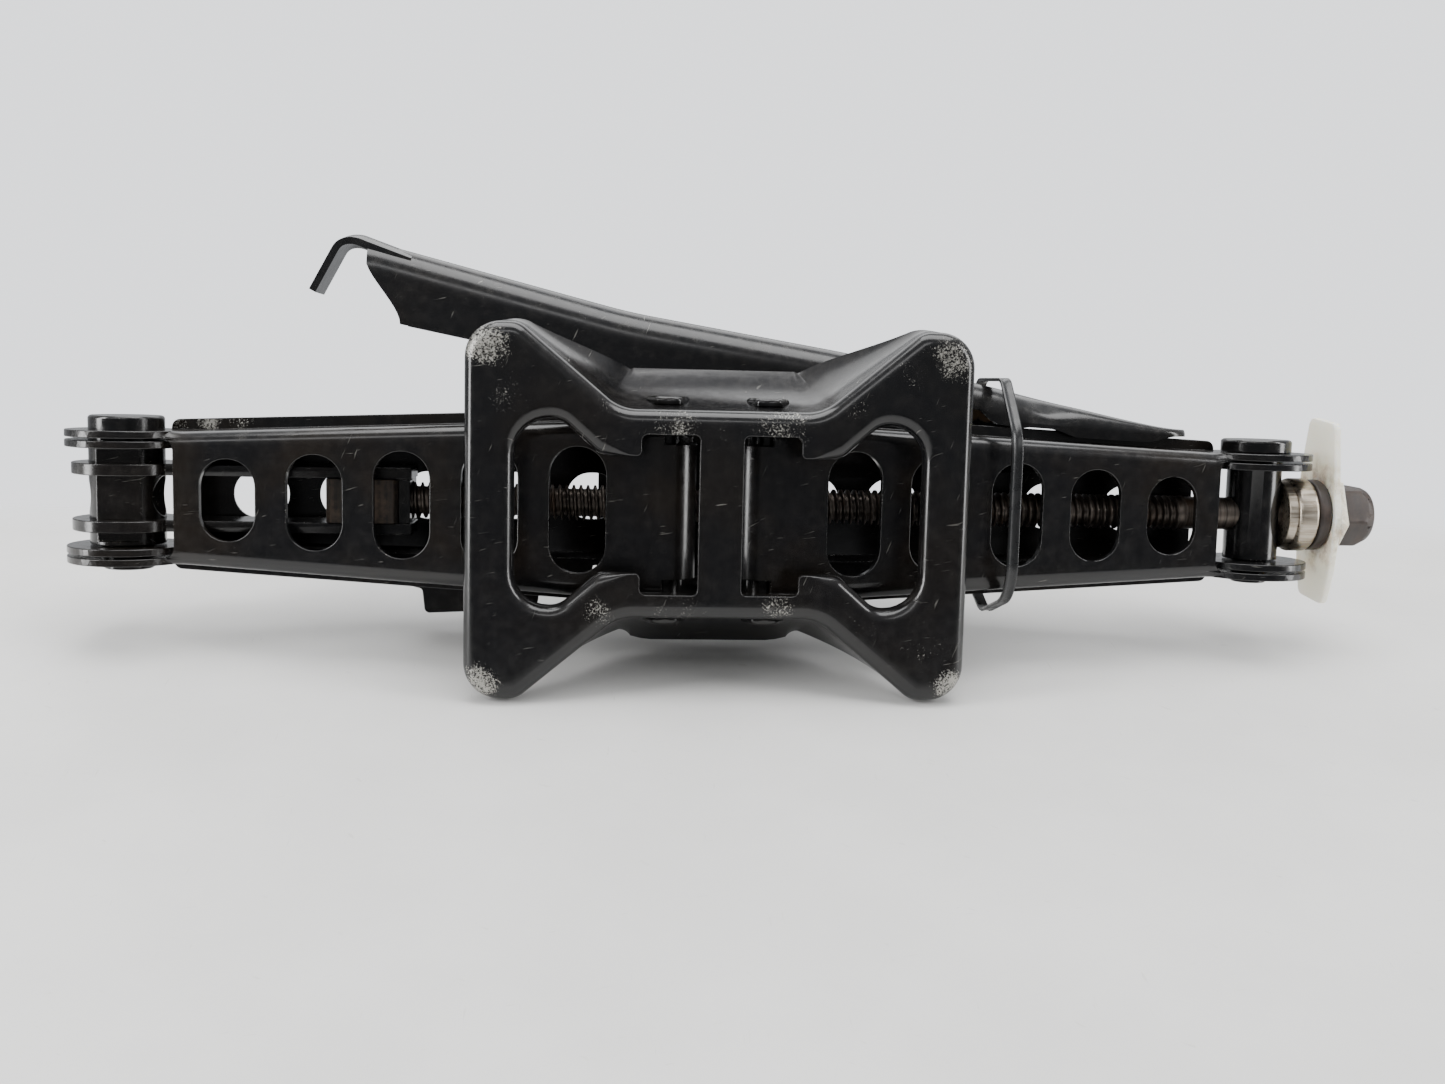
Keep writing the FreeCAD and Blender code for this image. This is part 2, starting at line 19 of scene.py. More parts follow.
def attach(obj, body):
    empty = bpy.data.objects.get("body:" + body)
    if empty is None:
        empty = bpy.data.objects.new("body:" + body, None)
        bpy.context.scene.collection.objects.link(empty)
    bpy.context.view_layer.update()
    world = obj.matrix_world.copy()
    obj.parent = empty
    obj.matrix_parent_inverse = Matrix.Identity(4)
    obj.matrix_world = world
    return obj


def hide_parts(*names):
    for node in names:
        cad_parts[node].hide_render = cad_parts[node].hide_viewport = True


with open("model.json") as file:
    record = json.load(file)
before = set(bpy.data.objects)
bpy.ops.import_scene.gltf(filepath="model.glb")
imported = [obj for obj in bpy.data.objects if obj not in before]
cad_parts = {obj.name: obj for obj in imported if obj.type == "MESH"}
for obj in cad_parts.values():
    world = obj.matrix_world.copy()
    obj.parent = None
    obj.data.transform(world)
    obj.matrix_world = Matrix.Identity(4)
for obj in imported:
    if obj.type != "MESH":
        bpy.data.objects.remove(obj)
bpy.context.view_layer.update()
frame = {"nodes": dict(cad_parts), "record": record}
scene = bpy.context.scene

# %% [markdown]
# ## The jack's own directions
# Everything on the jack is square to its screw, its pins and its foot, but the folded jack leans
# back as it lies. So shapes are worked out in the jack's own directions, in millimetres: x along
# the screw, back away from the foot's face, and pin along the pins. The mount on the foot's face
# says where that face is and how it leans, and one function carries points from there to the frame.

# %% Jack directions
MM = 0.001
foot_mount = next(m for m in frame["record"]["mounts"] if m["name"] == "foot_face")
FACE_POINT = np.array(foot_mount["pos_m"])
ALONG = np.array([1.0, 0.0, 0.0])
BACK = -np.array(foot_mount["axis"])
PINWARD = np.cross(ALONG, BACK)
AXES = np.array([ALONG, BACK, PINWARD])


def laid(x, back, pin):
    """A point in jack millimetres becomes the face's point plus each length times its direction."""
    local = np.stack(np.broadcast_arrays(x, back, pin), axis=-1).astype(float)
    return FACE_POINT + MM * (local @ AXES)


print("the foot leans back by", round(math.degrees(math.asin(-BACK[2])), 2), "degrees")

# %% [markdown]
# ## Camera
# The jack is seen from in front of its foot and a little above, from less than half a metre away.
# The camera's place and turns are set in the jack's own directions, so that it stays right if the
# parts are laid down a little differently. A camera looks along its own -Z, with +Y up.

# %% Camera
CAMERA_AT = (-43.62, -477.48, 44.25)
CAMERA_TURN = math.radians(5.3)
CAMERA_DIP = math.radians(6.27)
CAMERA_ROLL = math.radians(1.4)
LENS = 36.34


def camera_axes(turn, dip, roll):
    """Right, up and forward: forward is turned about the pins and dipped, right and up are rolled."""
    forward = np.array([math.sin(turn) * math.cos(dip), math.cos(turn) * math.cos(dip), -math.sin(dip)])
    level = np.array([math.cos(turn), -math.sin(turn), 0.0])
    upright = np.cross(level, forward)
    right = math.cos(roll) * level + math.sin(roll) * upright
    return right @ AXES, np.cross(right, forward) @ AXES, forward @ AXES


def add_camera():
    data = bpy.data.cameras.new("camera")
    data.lens = LENS
    data.sensor_width = 36.0
    camera = bpy.data.objects.new("camera", data)
    scene.collection.objects.link(camera)
    right, up, forward = camera_axes(CAMERA_TURN, CAMERA_DIP, CAMERA_ROLL)
    turned = Matrix(np.column_stack([right, up, -forward]).tolist()).to_4x4()
    camera.matrix_world = Matrix.Translation(laid(*CAMERA_AT).tolist()) @ turned
    scene.camera = camera
    return camera


camera = add_camera()
print("camera at", [round(v, 4) for v in camera.matrix_world.translation])

# %% [markdown]
# ## Node helpers
# A material is a small network of nodes. These helpers place a node, set its values and join its
# inputs in one call, so that each material below reads as a short recipe.

# %% Node helpers


def node(tree, kind, settings=None, inputs=None):
    """One node of a kind. An input is a plain value, or another node's output socket to join to."""
    made = tree.nodes.new(kind)
    for name, value in (settings or {}).items():
        setattr(made, name, value)
    for name, value in (inputs or {}).items():
        if isinstance(value, bpy.types.NodeSocket):
            tree.links.new(value, made.inputs[name])
        else:
            made.inputs[name].default_value = value
    return made


def maths(tree, operation, first, second=0.0, clamp=False):
    """One sum: both sides may be numbers or sockets."""
    settings = {"operation": operation, "use_clamp": clamp}
    return node(tree, "ShaderNodeMath", settings, {0: first, 1: second}).outputs[0]


def blend_colour(tree, share, first, second):
    """Goes from the first colour to the second as share goes from 0 to 1."""
    mixer = node(tree, "ShaderNodeMix", {"data_type": "RGBA"}, {0: share, 6: first, 7: second})
    return mixer.outputs[2]


def ramp(tree, value, low, high, to_low=0.0, to_high=1.0):
    """Stretches value from low..high to another range, easing in and out and held at both ends."""
    settings = {"interpolation_type": "SMOOTHSTEP"}
    limits = {"Value": value, "From Min": low, "From Max": high, "To Min": to_low, "To Max": to_high}
    return node(tree, "ShaderNodeMapRange", settings, limits).outputs[0]


def noise(tree, vector, scale, detail=3.0, roughness=0.55, squeeze=None, turn=(0.0, 0.0, 0.0)):
    """Soft random cloud from 0 to 1. squeeze stretches it along some axes, which makes streaks."""
    if squeeze:
        stretch = [1.0 / share for share in squeeze]
        mapping = node(tree, "ShaderNodeMapping", {"vector_type": "TEXTURE"},
                       {"Vector": vector, "Rotation": turn, "Scale": stretch})
        vector = mapping.outputs[0]
    values = {"Vector": vector, "Scale": scale, "Detail": detail, "Roughness": roughness}
    return node(tree, "ShaderNodeTexNoise", None, values).outputs[0]


def new_group(name, inputs, outputs):
    """An empty node group with named number or vector inputs and outputs."""
    tree = bpy.data.node_groups.new(name, "ShaderNodeTree")
    for label, kind, default in inputs:
        socket = tree.interface.new_socket(label, in_out="INPUT", socket_type=kind)
        if default is not None:
            socket.default_value = default
    for label, kind in outputs:
        tree.interface.new_socket(label, in_out="OUTPUT", socket_type=kind)
    return tree, tree.nodes.new("NodeGroupInput"), tree.nodes.new("NodeGroupOutput")


def use_group(tree, group, inputs):
    return node(tree, "ShaderNodeGroup", {"node_tree": group}, inputs)


# %% [markdown]
# ## Shared wear
# Three things happen to all the paint: fine scratches from handling, rubbed patches where metal
# shows grey at the places that touch the ground, and a film of dust on what faces up. Each is a
# node group that only puts out a mask, and every finish uses it with its own amounts.

# %% Scratch, rub and dust groups
NUMBER = "NodeSocketFloat"
VECTOR = "NodeSocketVector"


def scratch_group():
    """Thin streaks: noise squeezed hard along one direction and cut off near its top, three times."""
    tree, given, result = new_group("fine scratches", [("Vector", VECTOR, None), ("Amount", NUMBER, 0.5)],
                                    [("Mask", NUMBER)])
    total = None
    for turn, seed in ((0.4, 0.0), (1.3, 5.0), (2.5, 9.0)):
        streaks = noise(tree, given.outputs["Vector"], 900.0 + 60 * seed, 2.0, 0.5,
                        squeeze=(1.0, 0.09, 0.09), turn=(0.0, turn, 0.2 * seed))
        lines = ramp(tree, streaks, 0.71, 0.77)
        total = lines if total is None else maths(tree, "MAXIMUM", total, lines)
    sparse = ramp(tree, noise(tree, given.outputs["Vector"], 60.0), 0.40, 0.60)
    shown = maths(tree, "MULTIPLY", total, maths(tree, "MULTIPLY", sparse, given.outputs["Amount"]))
    tree.links.new(shown, result.inputs["Mask"])
    return tree


def rub_group():
    """A soft mask broken into speckle: coarse and fine noise are added to it, and the sum is cut."""
    tree, given, result = new_group("rubbed speckle", [("Vector", VECTOR, None), ("Mask", NUMBER, 0.0),
                                    ("Fineness", NUMBER, 500.0)], [("Mask", NUMBER)])
    fine = node(tree, "ShaderNodeTexNoise", None,
                {"Vector": given.outputs["Vector"], "Scale": given.outputs["Fineness"], "Detail": 6.0,
                 "Roughness": 0.75}).outputs[0]
    coarse = noise(tree, given.outputs["Vector"], 90.0, 3.0)
    texture = maths(tree, "ADD", maths(tree, "MULTIPLY", fine, 0.75), maths(tree, "MULTIPLY", coarse, 0.35))
    raised = maths(tree, "ADD", maths(tree, "MULTIPLY", given.outputs["Mask"], 0.26), texture)
    tree.links.new(ramp(tree, raised, 0.76, 0.84), result.inputs["Mask"])
    return tree


def dust_group():
    """Dust lies where the surface faces up, in soft clouds."""
    tree, given, result = new_group("dust film", [("Vector", VECTOR, None), ("Amount", NUMBER, 0.5)],
                                    [("Mask", NUMBER)])
    facing = node(tree, "ShaderNodeNewGeometry").outputs["Normal"]
    height = node(tree, "ShaderNodeSeparateXYZ", None, {0: facing}).outputs[2]
    lying = ramp(tree, height, -0.2, 1.0, 0.12, 1.0)
    clouds = ramp(tree, noise(tree, given.outputs["Vector"], 240.0, 6.0, 0.7), 0.42, 0.8)
    shown = maths(tree, "MULTIPLY", maths(tree, "MULTIPLY", lying, clouds), given.outputs["Amount"])
    tree.links.new(shown, result.inputs["Mask"])
    return tree


SCRATCHES = scratch_group()
RUB = rub_group()
DUST = dust_group()
print("wear groups:", [g.name for g in bpy.data.node_groups])

# %% [markdown]
# ## Black paint
# The pressed parts are dipped in a thin black paint, glossy but a little uneven, with soft blotches of
# warm brown. On most parts that brown is thin paint; on the arms, where it is strongest, it is mostly
# a painted reflection of the wrench's brown inside, which lies above them. Paint over steel is one
# Principled shader: a dark base, a low roughness broken up by noise, and a fine ripple as bump. Wear
# goes from the paint towards grey metal through one mask, and that mask comes from places that rub:
# round patches given as points in jack millimetres. The inside of the wrench, where paint hardly
# reached, shows the tan of old rust in the same way.

# %% Black paint
PAINT_DARK = (0.0045, 0.0046, 0.0052, 1.0)
# warm brown of thin paint, and on the arms a painted reflection of the wrench's brown inside
PAINT_BROWN_THIN_AND_REFLECTED = (0.011, 0.0082, 0.0058, 1.0)
BARE_GREY = (0.36, 0.35, 0.32, 1.0)
RUST_TAN = (0.20, 0.125, 0.062, 1.0)
RUB_FINENESS = 1500.0
DUST_TAN = (0.20, 0.185, 0.16, 1.0)


def empty_material(name):
    material = bpy.data.materials.new(name)
    material.use_nodes = True
    tree = material.node_tree
    tree.nodes.clear()
    shader = tree.nodes.new("ShaderNodeBsdfPrincipled")
    output = tree.nodes.new("ShaderNodeOutputMaterial")
    tree.links.new(shader.outputs[0], output.inputs[0])
    place = tree.nodes.new("ShaderNodeTexCoord").outputs["Object"]
    return material, tree, shader, place


def patch_mask(tree, place, patches):
    """Largest of several round masks, each 1 at a point and 0 at its radius."""
    total = None
    for x, back, pin, radius, strength in patches:
        middle = laid(x, back, pin)
        gap = node(tree, "ShaderNodeVectorMath", {"operation": "DISTANCE"}, {0: place, 1: middle.tolist()})
        spot = ramp(tree, gap.outputs["Value"], radius * MM, 0.2 * radius * MM, 0.0, strength)
        total = spot if total is None else maths(tree, "MAXIMUM", total, spot)
    return total


def black_paint(name, patches=(), *, scratches, dust, gloss, brown_thin_and_reflected=0.5, edge=0.0, rust=()):
    """Paint to metal by one mask: edge value or rubbed patches, broken into speckle, and scratches.

    gloss is the roughness that the paint's own noise plays around, and rust adds ragged tan patches."""
    material, tree, shader, place = empty_material(name)
    cloud = noise(tree, place, 28.0, 4.0)
    # blotches of warm brown: thin paint, and on the arms mostly a painted reflection of the wrench's brown
    # inside
    thin_paint_and_reflection = ramp(tree, cloud, 0.4, 0.7, 0.0, brown_thin_and_reflected)
    colour = blend_colour(tree, thin_paint_and_reflection, PAINT_DARK, PAINT_BROWN_THIN_AND_REFLECTED)
    film = use_group(tree, DUST, {"Vector": place, "Amount": dust}).outputs[0]
    colour = blend_colour(tree, film, colour, DUST_TAN)
    lines = use_group(tree, SCRATCHES, {"Vector": place, "Amount": scratches}).outputs[0]
    soft = patch_mask(tree, place, patches) if patches else edge
    worn = use_group(tree, RUB, {"Vector": place, "Mask": soft, "Fineness": RUB_FINENESS}).outputs[0]
    bare = maths(tree, "MAXIMUM", worn, maths(tree, "MULTIPLY", lines, 0.4), clamp=True)
    colour = blend_colour(tree, bare, colour, BARE_GREY)
    rough = ramp(tree, noise(tree, place, 300.0, 6.0, 0.65), 0.3, 0.75, gloss - 0.03, gloss + 0.06)
    rough = maths(tree, "ADD", rough, maths(tree, "MULTIPLY", film, 0.5))
    rough = maths(tree, "ADD", rough, maths(tree, "MULTIPLY", bare, 0.25), clamp=True)
    if rust:
        ragged = maths(tree, "ADD", patch_mask(tree, place, rust), maths(tree, "MULTIPLY", cloud, 0.6))
        ragged = ramp(tree, ragged, 0.75, 0.95)
        colour = blend_colour(tree, ragged, colour, RUST_TAN)
        rough = maths(tree, "ADD", rough, maths(tree, "MULTIPLY", ragged, 0.3), clamp=True)
    tree.links.new(colour, shader.inputs["Base Color"])
    tree.links.new(rough, shader.inputs["Roughness"])
    tree.links.new(maths(tree, "MULTIPLY", bare, 0.55), shader.inputs["Metallic"])
    ripple = maths(tree, "MULTIPLY", noise(tree, place, 420.0, 2.0), 0.35)
    height = maths(tree, "SUBTRACT", ripple, maths(tree, "MULTIPLY", bare, 0.5))
    bump = node(tree, "ShaderNodeBump", None, {"Height": height, "Distance": 0.0001, "Strength": 0.2})
    tree.links.new(bump.outputs[0], shader.inputs["Normal"])
    return material


# rubbed places as x, back, pin, radius and strength: four lobes, then both edges of the waist
FOOT_PATCHES = [(-78, 0, 55, 15, 1.0), (-66, 0, 40, 16, 0.55), (78, 0, 54, 15, 0.85),
                (64, 0, 50, 13, 0.45), (-78, 0, -56, 12, 1.0), (79, 0, -57, 11, 1.0),
                (70, 0, -44, 18, 0.45), (-18, 0, 29.5, 17, 0.75), (22, 0, 29.5, 17, 0.7),
                (-34, 0, 36, 14, 0.5), (44, 0, 38, 12, 0.4), (-16, 0, -31, 14, 0.6),
                (20, 0, -31, 14, 0.65), (-40, 0, -33, 11, 0.7), (48, 0, -36, 12, 0.5), (2, 0, 28, 12, 0.4)]
LIP_PATCHES = [(-187, 52, 26, 8, 1.0), (-178, 51, 27, 10, 1.0), (-166, 49, 28, 9, 0.7)]
HANDLE_PATCHES = [(-60, 42, 68, 45, 0.2)]
HANDLE_RUST = [(x, 65.5, 37.0, 11.0, 1.0) for x in (58, 66, 74, 82, 90, 98, 106)]
foot_paint = black_paint("foot paint", FOOT_PATCHES, scratches=0.75, dust=0.08, gloss=0.18, brown_thin_and_reflected=0.35)
# the arms get the most brown, which is mostly a painted reflection of the wrench's brown inside lying above
# them
arm_paint = black_paint("arm paint", LIP_PATCHES, scratches=0.6, dust=0.10, gloss=0.19, brown_thin_and_reflected=0.8)
plain_paint = black_paint("plain black paint", scratches=0.5, dust=0.14, gloss=0.18, brown_thin_and_reflected=0.45)
edge_paint = black_paint("rubbed edge", scratches=0.9, dust=0.15, gloss=0.2, edge=0.42)
handle_paint = black_paint("handle paint", HANDLE_PATCHES, scratches=0.8, dust=0.12, gloss=0.21,
                           brown_thin_and_reflected=0.3, rust=HANDLE_RUST)
print("paints:", [m.name for m in bpy.data.materials])

# %% [markdown]
# ## Steel, nylon and rust
# The screw is dark oiled steel, the collar is turned bare steel with brown stains, and the drive
# hexagon has a dark brown phosphate skin. The guard is cloudy nylon that light goes into, stained
# brown with old grease near the collar. The tie is plain black nylon.

# %% Steel and nylon


def stained_steel(name, light, dark, stain, roughness, metallic, grain=(1.0, 0.03, 0.03), stains=(0.45, 0.7)):
    """Two tones of metal in fine streaks along the grain, with a brown stain in clouds over them."""
    material, tree, shader, place = empty_material(name)
    streaks = noise(tree, place, 900.0, 3.0, 0.6, squeeze=grain)
    colour = blend_colour(tree, ramp(tree, streaks, 0.35, 0.65), dark, light)
    clouds = ramp(tree, noise(tree, place, 95.0, 6.0, 0.7), stains[0], stains[1])
    colour = blend_colour(tree, clouds, colour, stain)
    rough = ramp(tree, streaks, 0.3, 0.7, roughness - 0.08, roughness + 0.1)
    tree.links.new(colour, shader.inputs["Base Color"])
    rough = maths(tree, "ADD", rough, maths(tree, "MULTIPLY", clouds, 0.15))
    tree.links.new(rough, shader.inputs["Roughness"])
    shine = maths(tree, "SUBTRACT", metallic, maths(tree, "MULTIPLY", clouds, 0.35), clamp=True)
    tree.links.new(shine, shader.inputs["Metallic"])
    bump = node(tree, "ShaderNodeBump", None, {"Height": streaks, "Distance": 0.0001, "Strength": 0.25})
    tree.links.new(bump.outputs[0], shader.inputs["Normal"])
    return material


NYLON_MILK = (0.90, 0.87, 0.76, 1.0)
NYLON_GREASE = (0.24, 0.15, 0.07, 1.0)


def cloudy_nylon(name):
    """Milky nylon: light scatters inside it, and grease stains it brown near the screw's axis."""
    material, tree, shader, place = empty_material(name)
    hub = laid(231.0, 46.0, 0.0).tolist()
    gap = node(tree, "ShaderNodeVectorMath", {"operation": "DISTANCE"}, {0: place, 1: hub})
    near = ramp(tree, gap.outputs["Value"], 26 * MM, 13 * MM)
    clouds = ramp(tree, noise(tree, place, 140.0, 6.0, 0.7), 0.38, 0.7)
    grime = maths(tree, "MULTIPLY", near, clouds)
    specks = ramp(tree, noise(tree, place, 420.0, 4.0, 0.7), 0.66, 0.76, 0.0, 0.45)
    stain = maths(tree, "MAXIMUM", maths(tree, "MULTIPLY", grime, 0.85), specks)
    colour = blend_colour(tree, stain, NYLON_MILK, NYLON_GREASE)
    tree.links.new(colour, shader.inputs["Base Color"])
    tree.links.new(ramp(tree, clouds, 0.0, 1.0, 0.34, 0.5), shader.inputs["Roughness"])
    shader.inputs["Subsurface Weight"].default_value = 0.55
    shader.inputs["Subsurface Radius"].default_value = (0.006, 0.005, 0.0035)
    shader.inputs["Subsurface Scale"].default_value = 1.0
    ripple = noise(tree, place, 260.0, 3.0)
    bump = node(tree, "ShaderNodeBump", None, {"Height": ripple, "Distance": 0.0002, "Strength": 0.3})
    tree.links.new(bump.outputs[0], shader.inputs["Normal"])
    return material


def black_nylon(name):
    """Black nylon with a soft sheen and faint scuffs."""
    material, tree, shader, place = empty_material(name)
    scuffs = use_group(tree, SCRATCHES, {"Vector": place, "Amount": 0.5}).outputs[0]
    colour = blend_colour(tree, scuffs, (0.012, 0.0125, 0.0135, 1.0), (0.09, 0.09, 0.09, 1.0))
    tree.links.new(colour, shader.inputs["Base Color"])
    tree.links.new(ramp(tree, noise(tree, place, 200.0), 0.3, 0.7, 0.24, 0.38), shader.inputs["Roughness"])
    return material


screw_steel = stained_steel("oiled screw steel", (0.13, 0.11, 0.095, 1), (0.045, 0.038, 0.033, 1),
                            (0.05, 0.03, 0.018, 1), 0.38, 0.85)
collar_steel = stained_steel("turned bare steel", (0.47, 0.42, 0.35, 1), (0.30, 0.255, 0.20, 1),
                             (0.17, 0.12, 0.075, 1), 0.33, 0.95, grain=(0.05, 1.0, 1.0), stains=(0.55, 0.8))
hex_steel = stained_steel("brown phosphate steel", (0.040, 0.031, 0.028, 1), (0.024, 0.019, 0.017, 1),
                          (0.045, 0.028, 0.020, 1), 0.42, 0.3)
nut_steel = stained_steel("dark nut steel", (0.030, 0.022, 0.016, 1), (0.012, 0.010, 0.009, 1),
                          (0.055, 0.032, 0.018, 1), 0.45, 0.4)
guard_nylon = cloudy_nylon("stained clear nylon")
tie_nylon = black_nylon("black nylon")
print("materials:", len(bpy.data.materials))

# %% [markdown]
# ## Mesh helpers
# A surface is a grid of points, a whole array at once. Its faces follow from counting, so no point
# is ever handled on its own. Where a flat plate has holes, the grid gives way to a triangulation
# between the outline and the holes, and the triangles inside a hole are dropped.

# %% Mesh helpers


def grid_faces(rows, columns, wrap_rows, wrap_columns):
    """Squares between neighbouring rows and columns, wrapping round where asked."""
    r = np.arange(rows if wrap_rows else rows - 1)[:, None]
    c = np.arange(columns if wrap_columns else columns - 1)[None, :]
    below = (r + 1) % rows
    beside = (c + 1) % columns
    corners = [r * columns + c, r * columns + beside, below * columns + beside, below * columns + c]
    return np.stack(np.broadcast_arrays(*corners), axis=-1).reshape(-1, 4)


def surface(points, wrap_rows=False, wrap_columns=False):
    """A grid of points, rows by columns, as a flat list of points and its faces."""
    rows, columns = points.shape[:2]
    return points.reshape(-1, 3), grid_faces(rows, columns, wrap_rows, wrap_columns)


def inside(points, loop):
    """Even-odd test: a point is inside if a ray from it crosses the loop's edges an odd number of times."""
    a = loop[None, :, :]
    b = np.roll(loop, -1, axis=0)[None, :, :]
    x = points[:, None, 0]
    y = points[:, None, 1]
    spans = (a[..., 1] > y) != (b[..., 1] > y)
    rise = np.where(b[..., 1] == a[..., 1], 1.0, b[..., 1] - a[..., 1])
    crossing = a[..., 0] + (y - a[..., 1]) * (b[..., 0] - a[..., 0]) / rise
    return (np.sum(spans & (x < crossing), axis=1) % 2) == 1


def flat_plate(outline, holes):
    """Triangles between an outline and its holes, all as (x, pin) loops."""
    loops = [outline] + holes
    points = np.concatenate(loops)
    starts = np.cumsum([0] + [len(loop) for loop in loops])
    edges = [np.stack([np.arange(a, b), a + (np.arange(a, b) + 1 - a) % (b - a)], axis=1)
             for a, b in zip(starts[:-1], starts[1:])]
    made = geometry.delaunay_2d_cdt([tuple(p) for p in points], np.concatenate(edges).tolist(), [], 0, 1e-7)
    corners = np.array([tuple(v) for v in made[0]])
    triangles = np.array(made[2])
    centres = corners[triangles].mean(axis=1)
    keep = inside(centres, outline)
    for hole in holes:
        keep &= ~inside(centres, hole)
    return corners, triangles[keep]


def build_piece(name, parts, body, nodes, materials, sharp=35.0, merge=1e-6):
    """Joins surfaces into one mesh, closes its seams, turns faces outwards and puts it on a body."""
    points = np.concatenate([p for p, f in parts])
    starts = np.cumsum([0] + [len(p) for p, f in parts])
    faces = [face for (p, f), start in zip(parts, starts) for face in (f + start).tolist()]
    mesh = bpy.data.meshes.new(name)
    mesh.from_pydata(points.tolist(), [], faces)
    bm = bmesh.new()
    bm.from_mesh(mesh)
    bmesh.ops.remove_doubles(bm, verts=bm.verts, dist=merge)
    bmesh.ops.dissolve_degenerate(bm, edges=bm.edges, dist=merge)
    bmesh.ops.recalc_face_normals(bm, faces=bm.faces)
    bm.to_mesh(mesh)
    bm.free()
    return place_piece(name, mesh, body, nodes, materials, sharp)


def place_piece(name, mesh, body, nodes, materials, sharp):
    """A finished mesh becomes an object at the origin that rides on a body and stands for CAD nodes."""
    for material in materials:
        mesh.materials.append(material)
    mesh.shade_smooth()
    mesh.set_sharp_from_angle(angle=math.radians(sharp))
    piece = bpy.data.objects.new(name, mesh)
    scene.collection.objects.link(piece)
    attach(piece, body)
    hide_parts(*nodes)
    print("%-22s %6d faces" % (name, len(mesh.polygons)))
    return piece


def add_modifier(piece, kind, **settings):
    modifier = piece.modifiers.new(kind.lower(), kind)
    for name, value in settings.items():
        setattr(modifier, name, value)


def corner_arcs(corners, radii, steps):
    """A closed outline from its corners: each corner is an arc that touches both of its sides.

    The arc's centre lies on the corner's bisector, and its points turn evenly about that centre
    from one side's normal to the other's. Returns the points and their outward normals."""
    corners = np.asarray(corners, float)
    radii = np.asarray(radii, float)
    before = np.roll(corners, 1, axis=0) - corners
    after = np.roll(corners, -1, axis=0) - corners
    before /= np.linalg.norm(before, axis=1, keepdims=True)
    after /= np.linalg.norm(after, axis=1, keepdims=True)
    half = np.arccos(np.clip(np.sum(before * after, axis=1), -1, 1)) / 2
    bisector = before + after
    bisector /= np.linalg.norm(bisector, axis=1, keepdims=True)
    centre = corners + bisector * (radii / np.sin(half))[:, None]
    turn = np.sign(before[:, 0] * after[:, 1] - before[:, 1] * after[:, 0])
    share = np.linspace(-1, 1, steps)
    angle = np.arctan2(-bisector[:, 1], -bisector[:, 0])[:, None]
    angle = angle - turn[:, None] * (np.pi / 2 - half)[:, None] * share[None, :]
    spoke = np.stack([np.cos(angle), np.sin(angle)], axis=-1)
    points = (centre[:, None, :] + radii[:, None, None] * spoke).reshape(-1, 2)
    area = np.sum(corners[:, 0] * np.roll(corners[:, 1], -1) - np.roll(corners[:, 0], -1) * corners[:, 1])
    winding = np.sign(area)
    normals = (spoke * (turn * -winding)[:, None, None]).reshape(-1, 2)
    return points, normals


def denser(points, normals, step):
    """Adds points on the straight stretches, so that no side is longer than a step."""
    following = np.roll(points, -1, axis=0)
    lengths = np.linalg.norm(following - points, axis=1)
    pieces = np.maximum(1, np.ceil(lengths / step).astype(int))
    first = np.repeat(np.arange(len(points)), pieces)
    share = np.concatenate([np.arange(n) / n for n in pieces])[:, None]
    second = (first + 1) % len(points)
    moved = points[first] * (1 - share) + points[second] * share
    normal = normals[first] * (1 - share) + normals[second] * share
    return moved, normal / np.linalg.norm(normal, axis=1, keepdims=True)


def smooth_step(value, low, high):
    """Goes from 0 at low to 1 at high with level ends: three times the square less twice the cube."""
    share = np.clip((value - low) / (high - low), 0, 1)
    return share * share * (3 - 2 * share)

# %% [markdown]
# ## The foot
# The foot is one pressed sheet, 3 mm thick: a bow-tie face whose edge turns back all round into a
# skirt, shallow at the four lobes and deep at the waist, where it holds the two pins. Solidify could
# thicken one skin, but where the edge is turned tightly it pinches, so a section through the sheet,
# front skin and back skin together, is carried round the outline instead. The section changes as
# it goes: the skirt gets deeper towards the waist and flares there.

# %% Foot outline
FOOT_LENGTH, FOOT_WIDTH, WAIST_WIDTH = 84.3, 62.3, 34.8
FOOT_SHEET = 3.0
EDGE_ROUND = 4.6
EDGE_BREAK = 0.35
FLAT_MARGIN = 2.5
LOBE_DEPTH, WAIST_DEPTH, WAIST_FLARE = 8.0, 40.0, 13.5
FLARE_POWER = 2.2
# corners of a quarter of the outline: x, pin and radius
FOOT_QUARTER = [(FOOT_LENGTH, FOOT_WIDTH, 12.0), (66.5, FOOT_WIDTH, 8.5), (33.5, WAIST_WIDTH, 15.0)]
# distances from the middle where the rim and the flare change, on the upper and on the lower side
RIM_FROM, RIM_TO = 36, (74, 70)
FLARE_FROM, FLARE_TO = (30, 20), (76, 62)
BEND_STEPS = 8


def mirrored_quarter(quarter):
    """A quarter outline's corners and radii, mirrored to all four quarters in order round the loop."""
    quarter = np.asarray(quarter, float)
    half = np.concatenate([quarter, quarter[::-1] * (-1, 1, 1)])
    whole = np.concatenate([half, half[::-1] * (1, -1, 1)])
    return whole[:, :2], whole[:, 2]


def foot_edge():
    points, normals = corner_arcs(*mirrored_quarter(FOOT_QUARTER), steps=13)
    return denser(points, normals, 4.0)


def carried(points, aside, sections, depths):
    """Each row of the section, moved aside and back from the outline, goes right round the outline."""
    place = points[None] + sections[..., None] * aside[None]
    return laid(place[..., 0], depths, place[..., 1]), place[0]


def quarter_round(radius):
    """Aside and depth along a quarter circle that starts along the face and ends along the wall."""
    bend = np.linspace(0, np.pi / 2, BEND_STEPS)[:, None]
    return radius * (1 - np.sin(bend)), radius * (1 - np.cos(bend))


